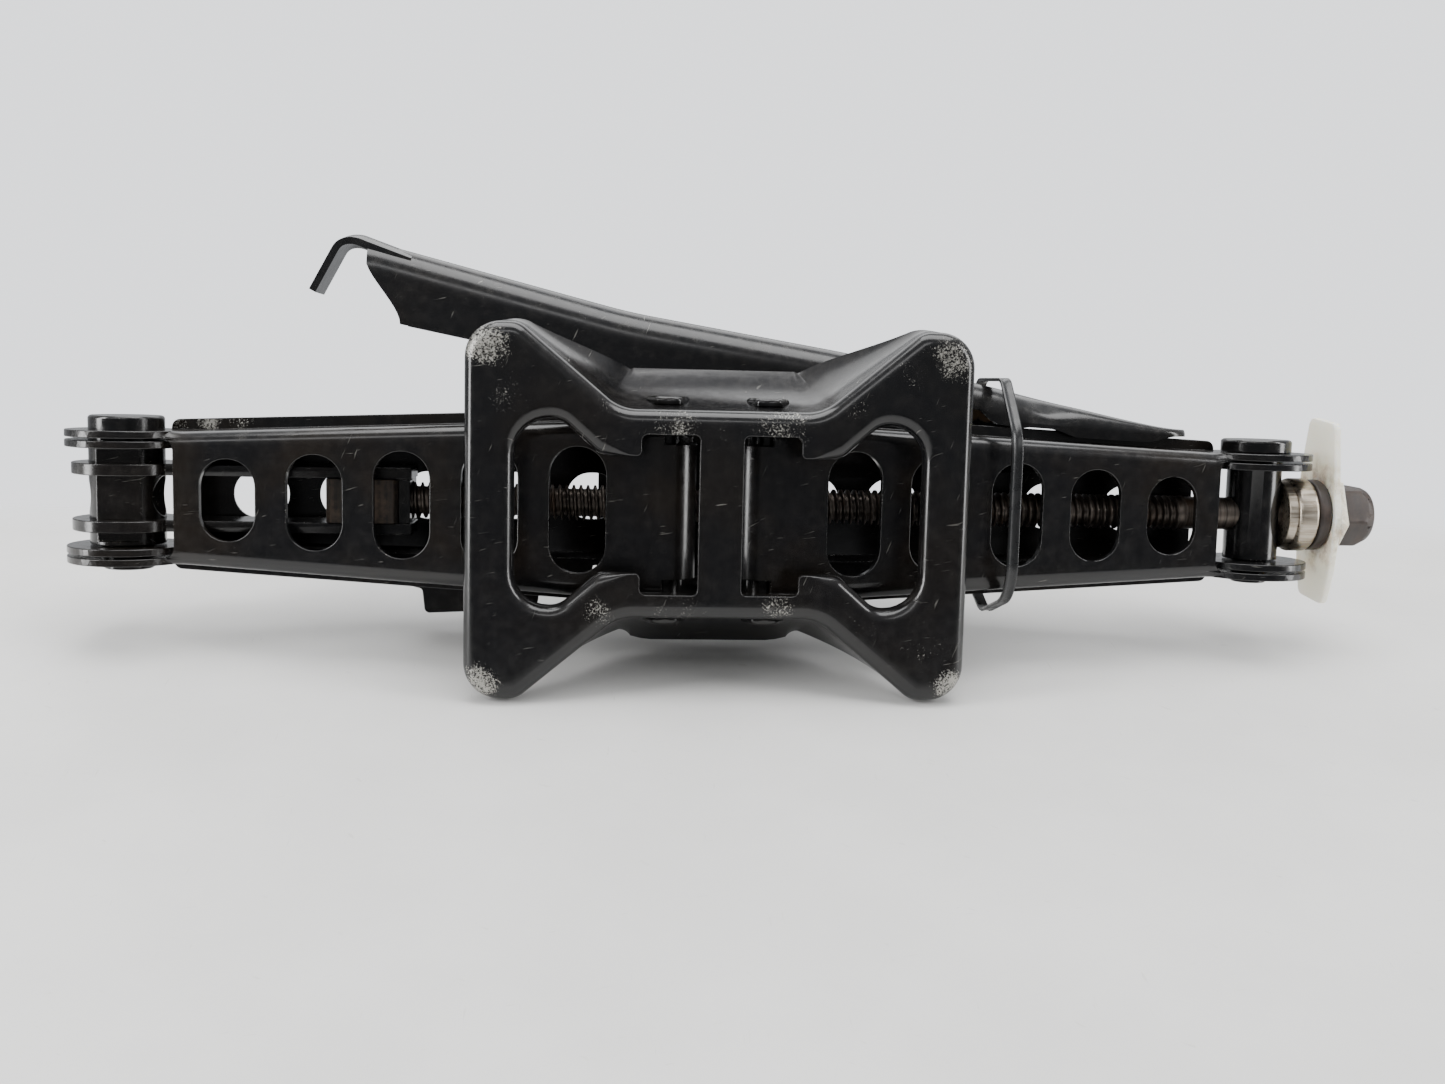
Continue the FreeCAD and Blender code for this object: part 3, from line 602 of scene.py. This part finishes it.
def skirt(points, normals):
    """Section of the edge: face, quarter round, wall, rim, and the same back again 3 mm further in.

    The rim's depth eases from the lobes to the waist, and there the wall flares out as a power of
    how deep it is. On the lower side, which lies on the ground, both end sooner."""
    x = np.abs(points[:, 0])[None]
    upper = points[:, 1][None] > 0
    rim = LOBE_DEPTH + (WAIST_DEPTH - LOBE_DEPTH) * (1 - smooth_step(x, RIM_FROM, np.where(upper, *RIM_TO)))
    waist = 1 - smooth_step(x, np.where(upper, *FLARE_FROM), np.where(upper, *FLARE_TO))
    share = np.linspace(0.1, 1, 14)[:, None]
    wall_depth = EDGE_ROUND + share * (rim - EDGE_BREAK - EDGE_ROUND)
    flare = WAIST_FLARE * waist * share ** FLARE_POWER
    full = np.ones_like(x)
    bend_in, bend_depth = quarter_round(EDGE_ROUND)
    inner_in, inner_depth = quarter_round(EDGE_ROUND - FOOT_SHEET)
    start = FLAT_MARGIN + EDGE_ROUND
    inset = [start * full, bend_in * full, -flare, EDGE_BREAK - flare[-1:],
             FOOT_SHEET - EDGE_BREAK - flare[-1:], FOOT_SHEET - flare[::-1],
             FOOT_SHEET + inner_in[::-1] * full, start * full]
    depth = [0 * full, bend_depth * full, wall_depth, rim, rim, wall_depth[::-1],
             FOOT_SHEET + inner_depth[::-1] * full, FOOT_SHEET * full]
    return carried(points, -normals, np.concatenate(inset), np.concatenate(depth))


edge_points, edge_normals = foot_edge()
skirt_rows, face_outline = skirt(edge_points, edge_normals)
print("foot outline", len(edge_points), "points, skirt", skirt_rows.shape[:2])

# %% [markdown]
# ### Windows of the foot
# Each window is a rounded opening whose sides curl back, joined to a square cut-out at each pin.
# The curl is a quarter round that shrinks to a sheared edge at the cut-outs, so its radius is a
# smooth function of the distance from the centre strip.

# %% Foot windows
CURL_ROUND = 4.4
CURL_WALL = 3.4
CURL_FROM, CURL_TO = 29, 40
SHEARED = 0.4
# upper half of a window, from the centre strip out: x, pin and corner radius
WINDOW_CORNERS = np.array([(7.3, 26.5, 1.8), (26.5, 26.5, 2.2), (26.5, 19.4, 1.6), (40.0, 19.4, 7.0),
                           (53.0, 30.8, 8.0), (68.0, 30.8, 11.5)])


def window_edge(side):
    loop = np.concatenate([WINDOW_CORNERS, WINDOW_CORNERS[::-1] * (1, -1, 1)])
    points, normals = corner_arcs(loop[:, :2], loop[:, 2], steps=9)
    points, normals = denser(points, normals, 2.5)
    return points * (side, 1), normals * (side, 1)


def window_curl(points, into_sheet):
    """Section of a window's edge: face, quarter round, wall, rim, and back again inside the sheet.

    curl is 0 at the pin cut-outs and 1 at the lobes. The round's radius and the wall's length
    follow it, so at the cut-outs the section is just the sheet's sheared edge."""
    x = np.abs(points[:, 0])[None]
    curl = smooth_step(x, CURL_FROM, CURL_TO)
    radius = SHEARED + (CURL_ROUND - SHEARED) * curl
    bend_in, bend_depth = quarter_round(radius)
    inner_in, inner_depth = quarter_round((CURL_ROUND - FOOT_SHEET) * curl)
    end = FOOT_SHEET + CURL_WALL * curl
    back = SHEARED + (FOOT_SHEET - SHEARED) * curl
    start = radius + 1.2 * curl + 0.3
    aside = [start, bend_in, 0 * x, SHEARED + 0 * x, back - SHEARED * curl, back,
             back + inner_in[::-1], start]
    depth = [0 * x, bend_depth, end - SHEARED, end, end, end - SHEARED * curl,
             FOOT_SHEET + inner_depth[::-1], FOOT_SHEET + 0 * x]
    return carried(points, into_sheet, np.concatenate(aside), np.concatenate(depth))


def make_foot():
    parts = [surface(skirt_rows, wrap_columns=True)]
    holes = []
    for side in (-1, 1):
        rows, hole = window_curl(*window_edge(side))
        parts.append(surface(rows, wrap_columns=True))
        holes.append(hole)
    corners, triangles = flat_plate(face_outline, holes)
    for depth in (0.0, FOOT_SHEET):
        parts.append((laid(corners[:, 0], depth, corners[:, 1]), triangles))
    build_piece("foot", parts, "base", ["base_plate"], [foot_paint], merge=2e-6)


make_foot()

# %% [markdown]
# ## Bent and machined parts
# The arms, brackets, trunnions and rings are the CAD shapes, but no real edge is perfectly sharp:
# paint thins and metal shines along it. A copy of each part has its triangles merged and joined
# into flat faces, and a narrow Bevel breaks every sharp edge. The bevel gets a material of its
# own, so the rubbed edge finish lies exactly where hands and tools rub.

# %% Broken edges
SHARP_FROM = 28.0


def edged_copy(name, body, materials, width):
    """A clean copy of a CAD node with its sharp edges bevelled."""
    source = frame["nodes"][name]
    bm = bmesh.new()
    bm.from_mesh(source.data)
    bmesh.ops.remove_doubles(bm, verts=bm.verts, dist=2e-6)
    bmesh.ops.dissolve_limit(bm, angle_limit=math.radians(0.5), verts=bm.verts, edges=bm.edges)
    mesh = bpy.data.meshes.new(name + "_edged")
    bm.to_mesh(mesh)
    bm.free()
    piece = place_piece(name + "_edged", mesh, body, [name], materials, SHARP_FROM)
    add_modifier(piece, "BEVEL", width=width * MM, segments=2, limit_method="ANGLE",
                 angle_limit=math.radians(SHARP_FROM), material=len(materials) - 1,
                 use_clamp_overlap=False, harden_normals=False)


for arm, body in (("lower_arm_left", "lower_left"), ("lower_arm_right", "lower_right"),
                  ("upper_arm_left", "upper_left"), ("upper_arm_right", "upper_right")):
    edged_copy(arm, body, [arm_paint, edge_paint], 0.28)
for part, body in (("saddle_plate", "saddle"), ("saddle_pad", "saddle"), ("stowage_bracket", "upper_left"),
                   ("nut_bracket_plates", "nut_end"), ("nut_bracket_web", "nut_end"),
                   ("trunnion_left", "nut_end"), ("trunnion_right", "drive_end")):
    edged_copy(part, body, [plain_paint, edge_paint], 0.3)
edged_copy("drive_nut", "nut_end", [nut_steel], 0.4)
edged_copy("thrust_seat", "drive_end", [collar_steel], 0.3)
edged_copy("thrust_collar", "drive_end", [collar_steel], 0.2)
edged_copy("drive_head", "screw", [hex_steel], 0.7)
edged_copy("screw_guard", "screw", [guard_nylon], 0.5)

# %% [markdown]
# ## The lead screw
# A real trapezoidal thread is a helix cut into a bar. It could be a screw modifier or a boolean, but
# the radius of a threaded bar is simply a function of how far along and how far round a point is,
# so one grid makes the whole screw, thread and plain shank together.

# %% Lead screw
SCREW_BACK = 46.0
CREST_RADIUS, ROOT_RADIUS, SHANK_RADIUS = 6.35, 4.95, 6.0
PITCH = 2.54
THREAD_START, THREAD_END, SHANK_END = -128.5, 176.0, 243.0
ROUND_STEPS = 36
CREST_SHARE, FLANK_SHARE = 0.13, 0.14
LEAD_CHAMFER = 1.2


def make_screw():
    """Radius of the thread: the phase is x over the pitch less the turn, and as the phase goes
    through one, the radius stays at the crest, falls along a flank, stays at the root and rises."""
    threaded = np.arange(THREAD_START, THREAD_END - 0.1, PITCH / 10)
    plain = np.array([THREAD_END, THREAD_END + 0.8, THREAD_END + 1.0, SHANK_END])
    x = np.concatenate([threaded, plain])[:, None]
    turn = np.linspace(0, 2 * np.pi, ROUND_STEPS, endpoint=False)[None, :]
    phase = (x / PITCH - turn / (2 * np.pi)) % 1.0
    ridge = np.clip((np.abs(phase - 0.5) - CREST_SHARE) / FLANK_SHARE, 0, 1)
    fade = np.minimum(smooth_step(x, THREAD_START, THREAD_START + 3),
                      1 - smooth_step(x, THREAD_END - 5, THREAD_END))
    radius = CREST_RADIUS - (CREST_RADIUS - ROOT_RADIUS) * ridge * fade
    radius = np.where(x >= THREAD_END, SHANK_RADIUS, radius)
    radius = radius - LEAD_CHAMFER * (1 - smooth_step(x, THREAD_START - 1, THREAD_START + LEAD_CHAMFER))
    grid = laid(x, SCREW_BACK + radius * np.cos(turn), radius * np.sin(turn))
    caps = np.stack([laid(np.full(ROUND_STEPS, end), SCREW_BACK, 0) for end in (THREAD_START, SHANK_END)])
    points = np.concatenate([caps[:1], grid, caps[1:]])
    build_piece("screw_threaded", [surface(points, wrap_columns=True)], "screw", ["lead_screw"],
                [screw_steel])


make_screw()

# %% [markdown]
# ## The wheel wrench
# The handle is one strip of sheet folded into a long gutter with a rounded back, deep at the hook
# and flat at the tip. It could be a curve with a bevel, but its section changes all the way along,
# so it is a grid: one way along the handle, the other way across the fold. Outer and inner skins
# are the same formula with the sheet's thickness taken off, and their rims are joined.

# %% Gutter
WRENCH_BACK = 53.2
WRENCH_SHEET = 2.4
TIP_END = 178.0
TIP_ROUND = 10.0
# along the screw, top of the back, depth of the sides, half width
STATIONS = np.array([(-124.0, 91.1, 27.0, 12.6), (-30.0, 68.2, 22.0, 12.5), (50.0, 55.6, 15.5, 12.0),
                     (104.0, 44.6, 13.6, 12.0), (150.0, 34.4, 5.7, 11.5), (170.0, 30.7, 2.5, 10.2),
                     (TIP_END, 30.5, 2.41, 10.0)])
# across the fold, as shares of the way from the middle to an edge: end of the crown, start of a side
CROWN_SHARE, SIDE_SHARE = 0.12, 0.55
SLANT = 12.0
NOTCH_DEPTH, FRONT_DROP, REAR_DROP = 7.0, 2.4, 5.5
DENT_DEPTH, DENT_X, DENT_LENGTH = 1.7, 121, 9


def along_handle(x, column):
    """A measure at x: straight between the stations, averaged over 16 mm so that no crease shows."""
    reach = np.linspace(-8, 8, 9)
    return np.mean([np.interp(x + d, STATIONS[:, 0], STATIONS[:, column]) for d in reach], axis=0)


def gutter(wall):
    """Skin of the handle, a wall's thickness inside the outer one.

    Across, share runs from -1 at the front edge to 1 at the rear edge: up the front side, round a
    quarter circle, over the back, and down again. Along, each line starts at the slanted end by
    the hook, where the sides start later than the back. The front side is notched near the tie, so
    that the deeper rear side shows behind it, and it reaches down to the arm near the tip."""
    across = np.linspace(-1, 1, 41)[None, :]
    rounding = 0.93 + 0.07 * np.sin(np.linspace(0.04, np.pi / 2, 14))
    x = np.concatenate([np.linspace(0, 0.93, 90), rounding])[:, None]
    down = np.clip(np.abs(across) * 2 - 1, 0, 1)
    start = -121.5 + SLANT * smooth_step(down, -0.15, 1.0)
    x = start + x * (TIP_END - 0.4 - start)
    top, depth, half = (along_handle(x, column) for column in (1, 2, 3))
    notch = (across < 0) * NOTCH_DEPTH * smooth_step(x, 42, 56) * (1 - smooth_step(x, 92, 104))
    front = (across < 0) * FRONT_DROP * smooth_step(x, 124, 134) * (1 - smooth_step(x, 160, 172))
    rear = (across > 0) * REAR_DROP * smooth_step(x, 45, 80) * (1 - smooth_step(x, 100, 125))
    rounded_tip = np.sqrt(np.clip(1 - (np.clip(x - TIP_END + TIP_ROUND, 0, None) / TIP_ROUND) ** 2, 0.02, 1))
    half = half * rounded_tip
    turn = np.minimum(depth, half) * 0.82
    straight = np.clip((np.abs(across) - SIDE_SHARE) / (1 - SIDE_SHARE), 0, 1)
    bend = np.clip((np.abs(across) - CROWN_SHARE) / (SIDE_SHARE - CROWN_SHARE), 0, 1) * np.pi / 2
    flat = np.clip(np.abs(across) / CROWN_SHARE, 0, 1)
    radius = np.clip(turn - wall, 0.02, None)
    aside = (half - turn) * flat + radius * np.sin(bend)
    fall = wall + radius * (1 - np.cos(bend)) + straight * (depth + front + rear - notch - wall - radius)
    dent = DENT_DEPTH * np.exp(-((x - DENT_X) / DENT_LENGTH) ** 2 - ((across + 0.3) / 0.17) ** 2)
    return x, WRENCH_BACK + np.sign(across) * aside + dent * 0.6, top - fall - dent


def joined(outer, inner):
    """Outer and inner skin, and the four narrow strips that join their edges."""
    rims = [(outer[:, 0], inner[:, 0]), (outer[:, -1], inner[:, -1]),
            (outer[0], inner[0]), (outer[-1], inner[-1])]
    strips = [surface(np.stack([a, b])) for a, b in rims]
    return [surface(outer), surface(inner)] + strips


# %% [markdown]
# ### Hook of the wrench
# At its deep end the back runs on as a narrow tongue that rises a little and then bends down into
# a hook for prising off wheel trims. Its path is two straight runs and an arc; across, it starts
# with the rounded back's crown and ends flat.

# %% Hook
HOOK_PATH = [(-106.0, 86.3), (-129.3, 94.4), (-141.0, 72.8)]
HOOK_ROUND = 9.0
HOOK_HALF = 8.5


def hook_line(wall):
    """Points along the tongue: a run, an arc that touches both runs, and a run, moved in by wall."""
    start, corner, end = (np.array(p) for p in HOOK_PATH)
    before = (start - corner) / np.linalg.norm(start - corner)
    after = (end - corner) / np.linalg.norm(end - corner)
    half = np.arccos(before @ after) / 2
    middle = (before + after) / np.linalg.norm(before + after)
    centre = corner + middle * HOOK_ROUND / np.sin(half)
    spokes = [corner + side * HOOK_ROUND / np.tan(half) - centre for side in (before, after)]
    angles = [math.atan2(s[1], s[0]) for s in spokes]
    angle = np.linspace(angles[0], angles[1], 14)[:, None]
    arc = centre + (HOOK_ROUND - wall) * np.concatenate([np.cos(angle), np.sin(angle)], axis=1)
    rises = [s / HOOK_ROUND * -wall for s in spokes]
    run_in = start + rises[0] + (arc[0] - start - rises[0]) * np.linspace(0, 0.95, 10)[:, None]
    run_out = arc[-1] + (end + rises[1] - arc[-1]) * np.linspace(0.08, 1, 10)[:, None]
    return np.concatenate([run_in, arc, run_out])


def tongue(wall):
    """Skin of the tongue: across is -1 to 1, and the crown falls with its square and fades out."""
    line = hook_line(wall)
    across = np.linspace(-1, 1, 13)[None, :]
    share = np.linspace(0, 1, len(line))[:, None]
    width = HOOK_HALF + 1.5 * (1 - smooth_step(share, 0.1, 0.6))
    crown = 2.2 * across ** 2 * (1 - smooth_step(share, 0.25, 0.75))
    return laid(line[:, :1] + 0 * across, WRENCH_BACK + across * width, line[:, 1:] - crown)


def make_wrench():
    skins = [laid(*gutter(wall)) for wall in (0.0, WRENCH_SHEET)]
    parts = joined(*skins) + joined(tongue(-0.05), tongue(WRENCH_SHEET))
    handle = build_piece("wrench_gutter", parts, "wrench", ["wrench_handle"],
                         [handle_paint, edge_paint], sharp=40.0)
    add_modifier(handle, "BEVEL", width=0.35 * MM, segments=2, limit_method="ANGLE",
                 angle_limit=math.radians(55), material=1, use_clamp_overlap=True)


make_wrench()
edged_copy("wrench_socket", "wrench", [plain_paint, edge_paint], 0.4)

# %% [markdown]
# ## Staked pins
# The four pins of the foot and the saddle are held by staking: each end is struck with a punch, so
# it swells over the wall with a ring of small lobes and keeps a shallow dish in its middle. A lathe
# shape would be too perfect, so the radius also goes up and down six times round the end.

# %% Staked pins
PIN_RADIUS = 6.0
PIN_X = 17.2


def make_pin(name, x, back, half_length, wall_out, body):
    """Radius and height of a pin's end, row by row: shank, swollen lobes, rim and dish.

    The lobes are a cosine of six times the turn, and they fade towards the shank and the dish."""
    turn = np.linspace(0, 2 * np.pi, 60, endpoint=False)[None, :]
    radius = np.array([PIN_RADIUS, PIN_RADIUS, 6.9, 7.1, 6.8, 6.2, 5.0, 4.2, 2.0, 0.01])[:, None]
    lobes = np.array([0.0, 0.0, 0.30, 0.42, 0.42, 0.3, 0.1, 0.0, 0.0, 0.0])[:, None]
    rise = half_length - wall_out
    height = wall_out + rise * np.array([-2.0, 0.02, 0.12, 0.45, 0.8, 0.97, 1.0, 0.8, 0.62, 0.6])[:, None]
    wide = radius + lobes * np.cos(6 * turn)
    top = laid(x + wide * np.cos(turn), back + wide * np.sin(turn), height)
    bottom = laid(x + wide * np.cos(turn), back + wide * np.sin(turn), -height)
    rows = np.concatenate([top[::-1], bottom])
    build_piece(name + "_staked", [surface(rows, wrap_columns=True)], body, [name],
                [plain_paint], sharp=50.0, merge=2e-5)


FOOT_PIN_BACK, SADDLE_PIN_BACK = 22.0, 70.0
for side, where in ((-1, "left"), (1, "right")):
    make_pin("base_pin_" + where, side * PIN_X, FOOT_PIN_BACK, 38.9, 36.0, "base")
    make_pin("saddle_pin_" + where, side * PIN_X, SADDLE_PIN_BACK, 29.8, 28.2, "saddle")

# %% [markdown]
# ## The cable tie
# The tie is a nylon strap, 4 mm wide and 1.2 mm thick, pulled round the arms and the wrench. It
# lies in one plane, so its line is the same kind of outline as the foot's: corners with arcs. A
# rounded section is carried round that line. Its outside is smooth with a shallow groove between
# two raised edges, as moulded ties have.

# %% Cable tie
TIE_X = 102.5
# corners of the strap's line: back, pin and radius
TIE_LOOP = [(11, -28, 16), (11, 28, 18), (30, 48, 7), (62, 48, 7), (77, 24, 8), (77, -24, 10), (44, -38, 12)]
TIE_HALF_WIDTH = 2.0
TIE_SHEET = 1.2


def make_tie():
    """The section goes across the strap and back: raised edges, a groove between, and a flat inside."""
    loop = np.array(TIE_LOOP, float)
    points, normals = corner_arcs(loop[:, :2], loop[:, 2], steps=12)
    points, normals = denser(points, normals, 2.5)
    across = np.array([-1.0, -0.97, -0.85, -0.62, -0.5, 0.5, 0.62, 0.85, 0.97, 1.0, 1.0, 0.93, -0.93, -1.0])
    inward = np.array([0.45, 0.15, 0.0, 0.0, 0.22, 0.22, 0.0, 0.0, 0.15, 0.45, 1.0,
                       TIE_SHEET, TIE_SHEET, 1.0])
    place = points[None] - inward[:, None, None] * normals[None]
    x = TIE_X + TIE_HALF_WIDTH * across[:, None]
    grid = laid(x, place[..., 0], place[..., 1])
    build_piece("tie_strap", [surface(grid, True, True)], "lower_right", ["cable_tie_strap"],
                [tie_nylon], sharp=45.0)


make_tie()
edged_copy("cable_tie_head", "lower_right", [tie_nylon], 0.5)

# %% [markdown]
# ## The CAD meshes themselves
# Each CAD part now has a finished piece in its place. Its own mesh still gets the same kind of
# procedural finish in place of the plain packed one, so nothing is left with a flat colour.

# %% Finish for the CAD meshes
FINISHES = {"cable_tie_strap": tie_nylon, "cable_tie_head": tie_nylon, "wrench_handle": handle_paint,
            "wrench_socket": plain_paint, "drive_nut": nut_steel}
for name, cad in frame["nodes"].items():
    cad.data.materials.clear()
    cad.data.materials.append(FINISHES.get(name, plain_paint))
print("finished", len(frame["nodes"]), "CAD nodes")

# %% [markdown]
# ## Floor, light and surroundings
# The jack lies on a plain pale table under soft light from above. Black gloss paint shows what is
# around it more than the light on it, so the surroundings are pale above and behind the jack and
# dim in front of it, as in a room with a lit wall. A tall strip of light on either side draws the
# bright lines along the rounded edges. The floor fades out behind the jack, because the raised
# jack, which leans back, would pass below it there.

# %% Floor
FLOOR_HALF = 1.6
FADE_NEAR, FADE_FAR = 0.085, 0.15
BOARD_DARK, BOARD_PALE = (0.70, 0.695, 0.68, 1), (0.75, 0.745, 0.73, 1)
BOARD_SCUFF = (0.5, 0.49, 0.46, 1)


def floor_material():
    """Pale board with faint scuffs, which turns transparent behind the jack."""
    material, tree, shader, place = empty_material("pale floor")
    mottled = noise(tree, place, 14.0, 5.0, 0.6)
    scuffs = use_group(tree, SCRATCHES, {"Vector": place, "Amount": 0.35}).outputs[0]
    colour = blend_colour(tree, ramp(tree, mottled, 0.3, 0.7), BOARD_DARK, BOARD_PALE)
    colour = blend_colour(tree, scuffs, colour, BOARD_SCUFF)
    tree.links.new(colour, shader.inputs["Base Color"])
    shader.inputs["Roughness"].default_value = 0.55
    shader.inputs["Specular IOR Level"].default_value = 0.25
    depth = node(tree, "ShaderNodeSeparateXYZ", None, {0: place}).outputs[1]
    tree.links.new(ramp(tree, depth, FADE_NEAR, FADE_FAR, 1.0, 0.0), shader.inputs["Alpha"])
    return material


def add_floor():
    corners = [(-FLOOR_HALF, -FLOOR_HALF, 0), (FLOOR_HALF, -FLOOR_HALF, 0),
               (FLOOR_HALF, FADE_FAR + 0.01, 0), (-FLOOR_HALF, FADE_FAR + 0.01, 0)]
    mesh = bpy.data.meshes.new("floor")
    mesh.from_pydata(corners, [], [(0, 1, 2, 3)])
    mesh.materials.append(floor_material())
    floor = bpy.data.objects.new("floor", mesh)
    scene.collection.objects.link(floor)


add_floor()

# %% Lights and world


def soft_light(name, at, aim, size, power):
    """A rectangular softbox that faces a point."""
    data = bpy.data.lights.new(name, "AREA")
    data.shape = "RECTANGLE"
    data.size, data.size_y = size
    data.energy = power
    light = bpy.data.objects.new(name, data)
    scene.collection.objects.link(light)
    forward = np.array(aim, float) - np.array(at, float)
    level = np.cross(forward, (0.0, 0.0, 1.0))
    level /= np.linalg.norm(level)
    forward /= np.linalg.norm(forward)
    turned = Matrix(np.column_stack([level, np.cross(level, forward), -forward]).tolist()).to_4x4()
    light.matrix_world = Matrix.Translation(at) @ turned


soft_light("overhead softbox", (0.05, 0.15, 1.25), (0, 0.02, 0), (1.3, 0.8), 21.0)
soft_light("rear softbox", (0.0, 1.1, 0.75), (0, 0, 0.05), (1.8, 0.7), 8.0)
soft_light("front fill", (-0.4, -1.0, 1.2), (0, 0, 0.05), (1.4, 0.25), 4.0)
soft_light("left strip", (-0.95, -0.25, 0.3), (0, 0, 0.06), (0.25, 1.0), 13.0)
soft_light("right strip", (0.95, -0.3, 0.35), (0, 0, 0.06), (0.25, 1.0), 9.0)

BACKDROP = (1.75, 1.78, 1.84, 1.0)


def add_world():
    """Pale where the camera looks past the jack; for light and reflections, bright above and dim below."""
    world = bpy.data.worlds.new("studio")
    world.use_nodes = True
    tree = world.node_tree
    tree.nodes.clear()
    direction = tree.nodes.new("ShaderNodeTexCoord").outputs["Generated"]
    parts = node(tree, "ShaderNodeSeparateXYZ", None, {0: direction})
    above = ramp(tree, parts.outputs[2], -0.1, 0.9)
    behind = ramp(tree, parts.outputs[1], -0.3, 0.9)
    level = maths(tree, "ADD", maths(tree, "MULTIPLY", above, 0.4), maths(tree, "MULTIPLY", behind, 0.55))
    level = maths(tree, "ADD", level, 0.06)
    seen = node(tree, "ShaderNodeBackground", None, {"Color": BACKDROP, "Strength": 1.0})
    lit = node(tree, "ShaderNodeBackground", None, {"Color": (0.95, 0.97, 1.0, 1.0), "Strength": level})
    straight = tree.nodes.new("ShaderNodeLightPath").outputs["Is Camera Ray"]
    mixer = node(tree, "ShaderNodeMixShader", None, {0: straight, 1: lit.outputs[0], 2: seen.outputs[0]})
    output = tree.nodes.new("ShaderNodeOutputWorld")
    tree.links.new(mixer.outputs[0], output.inputs[0])
    scene.world = world


add_world()
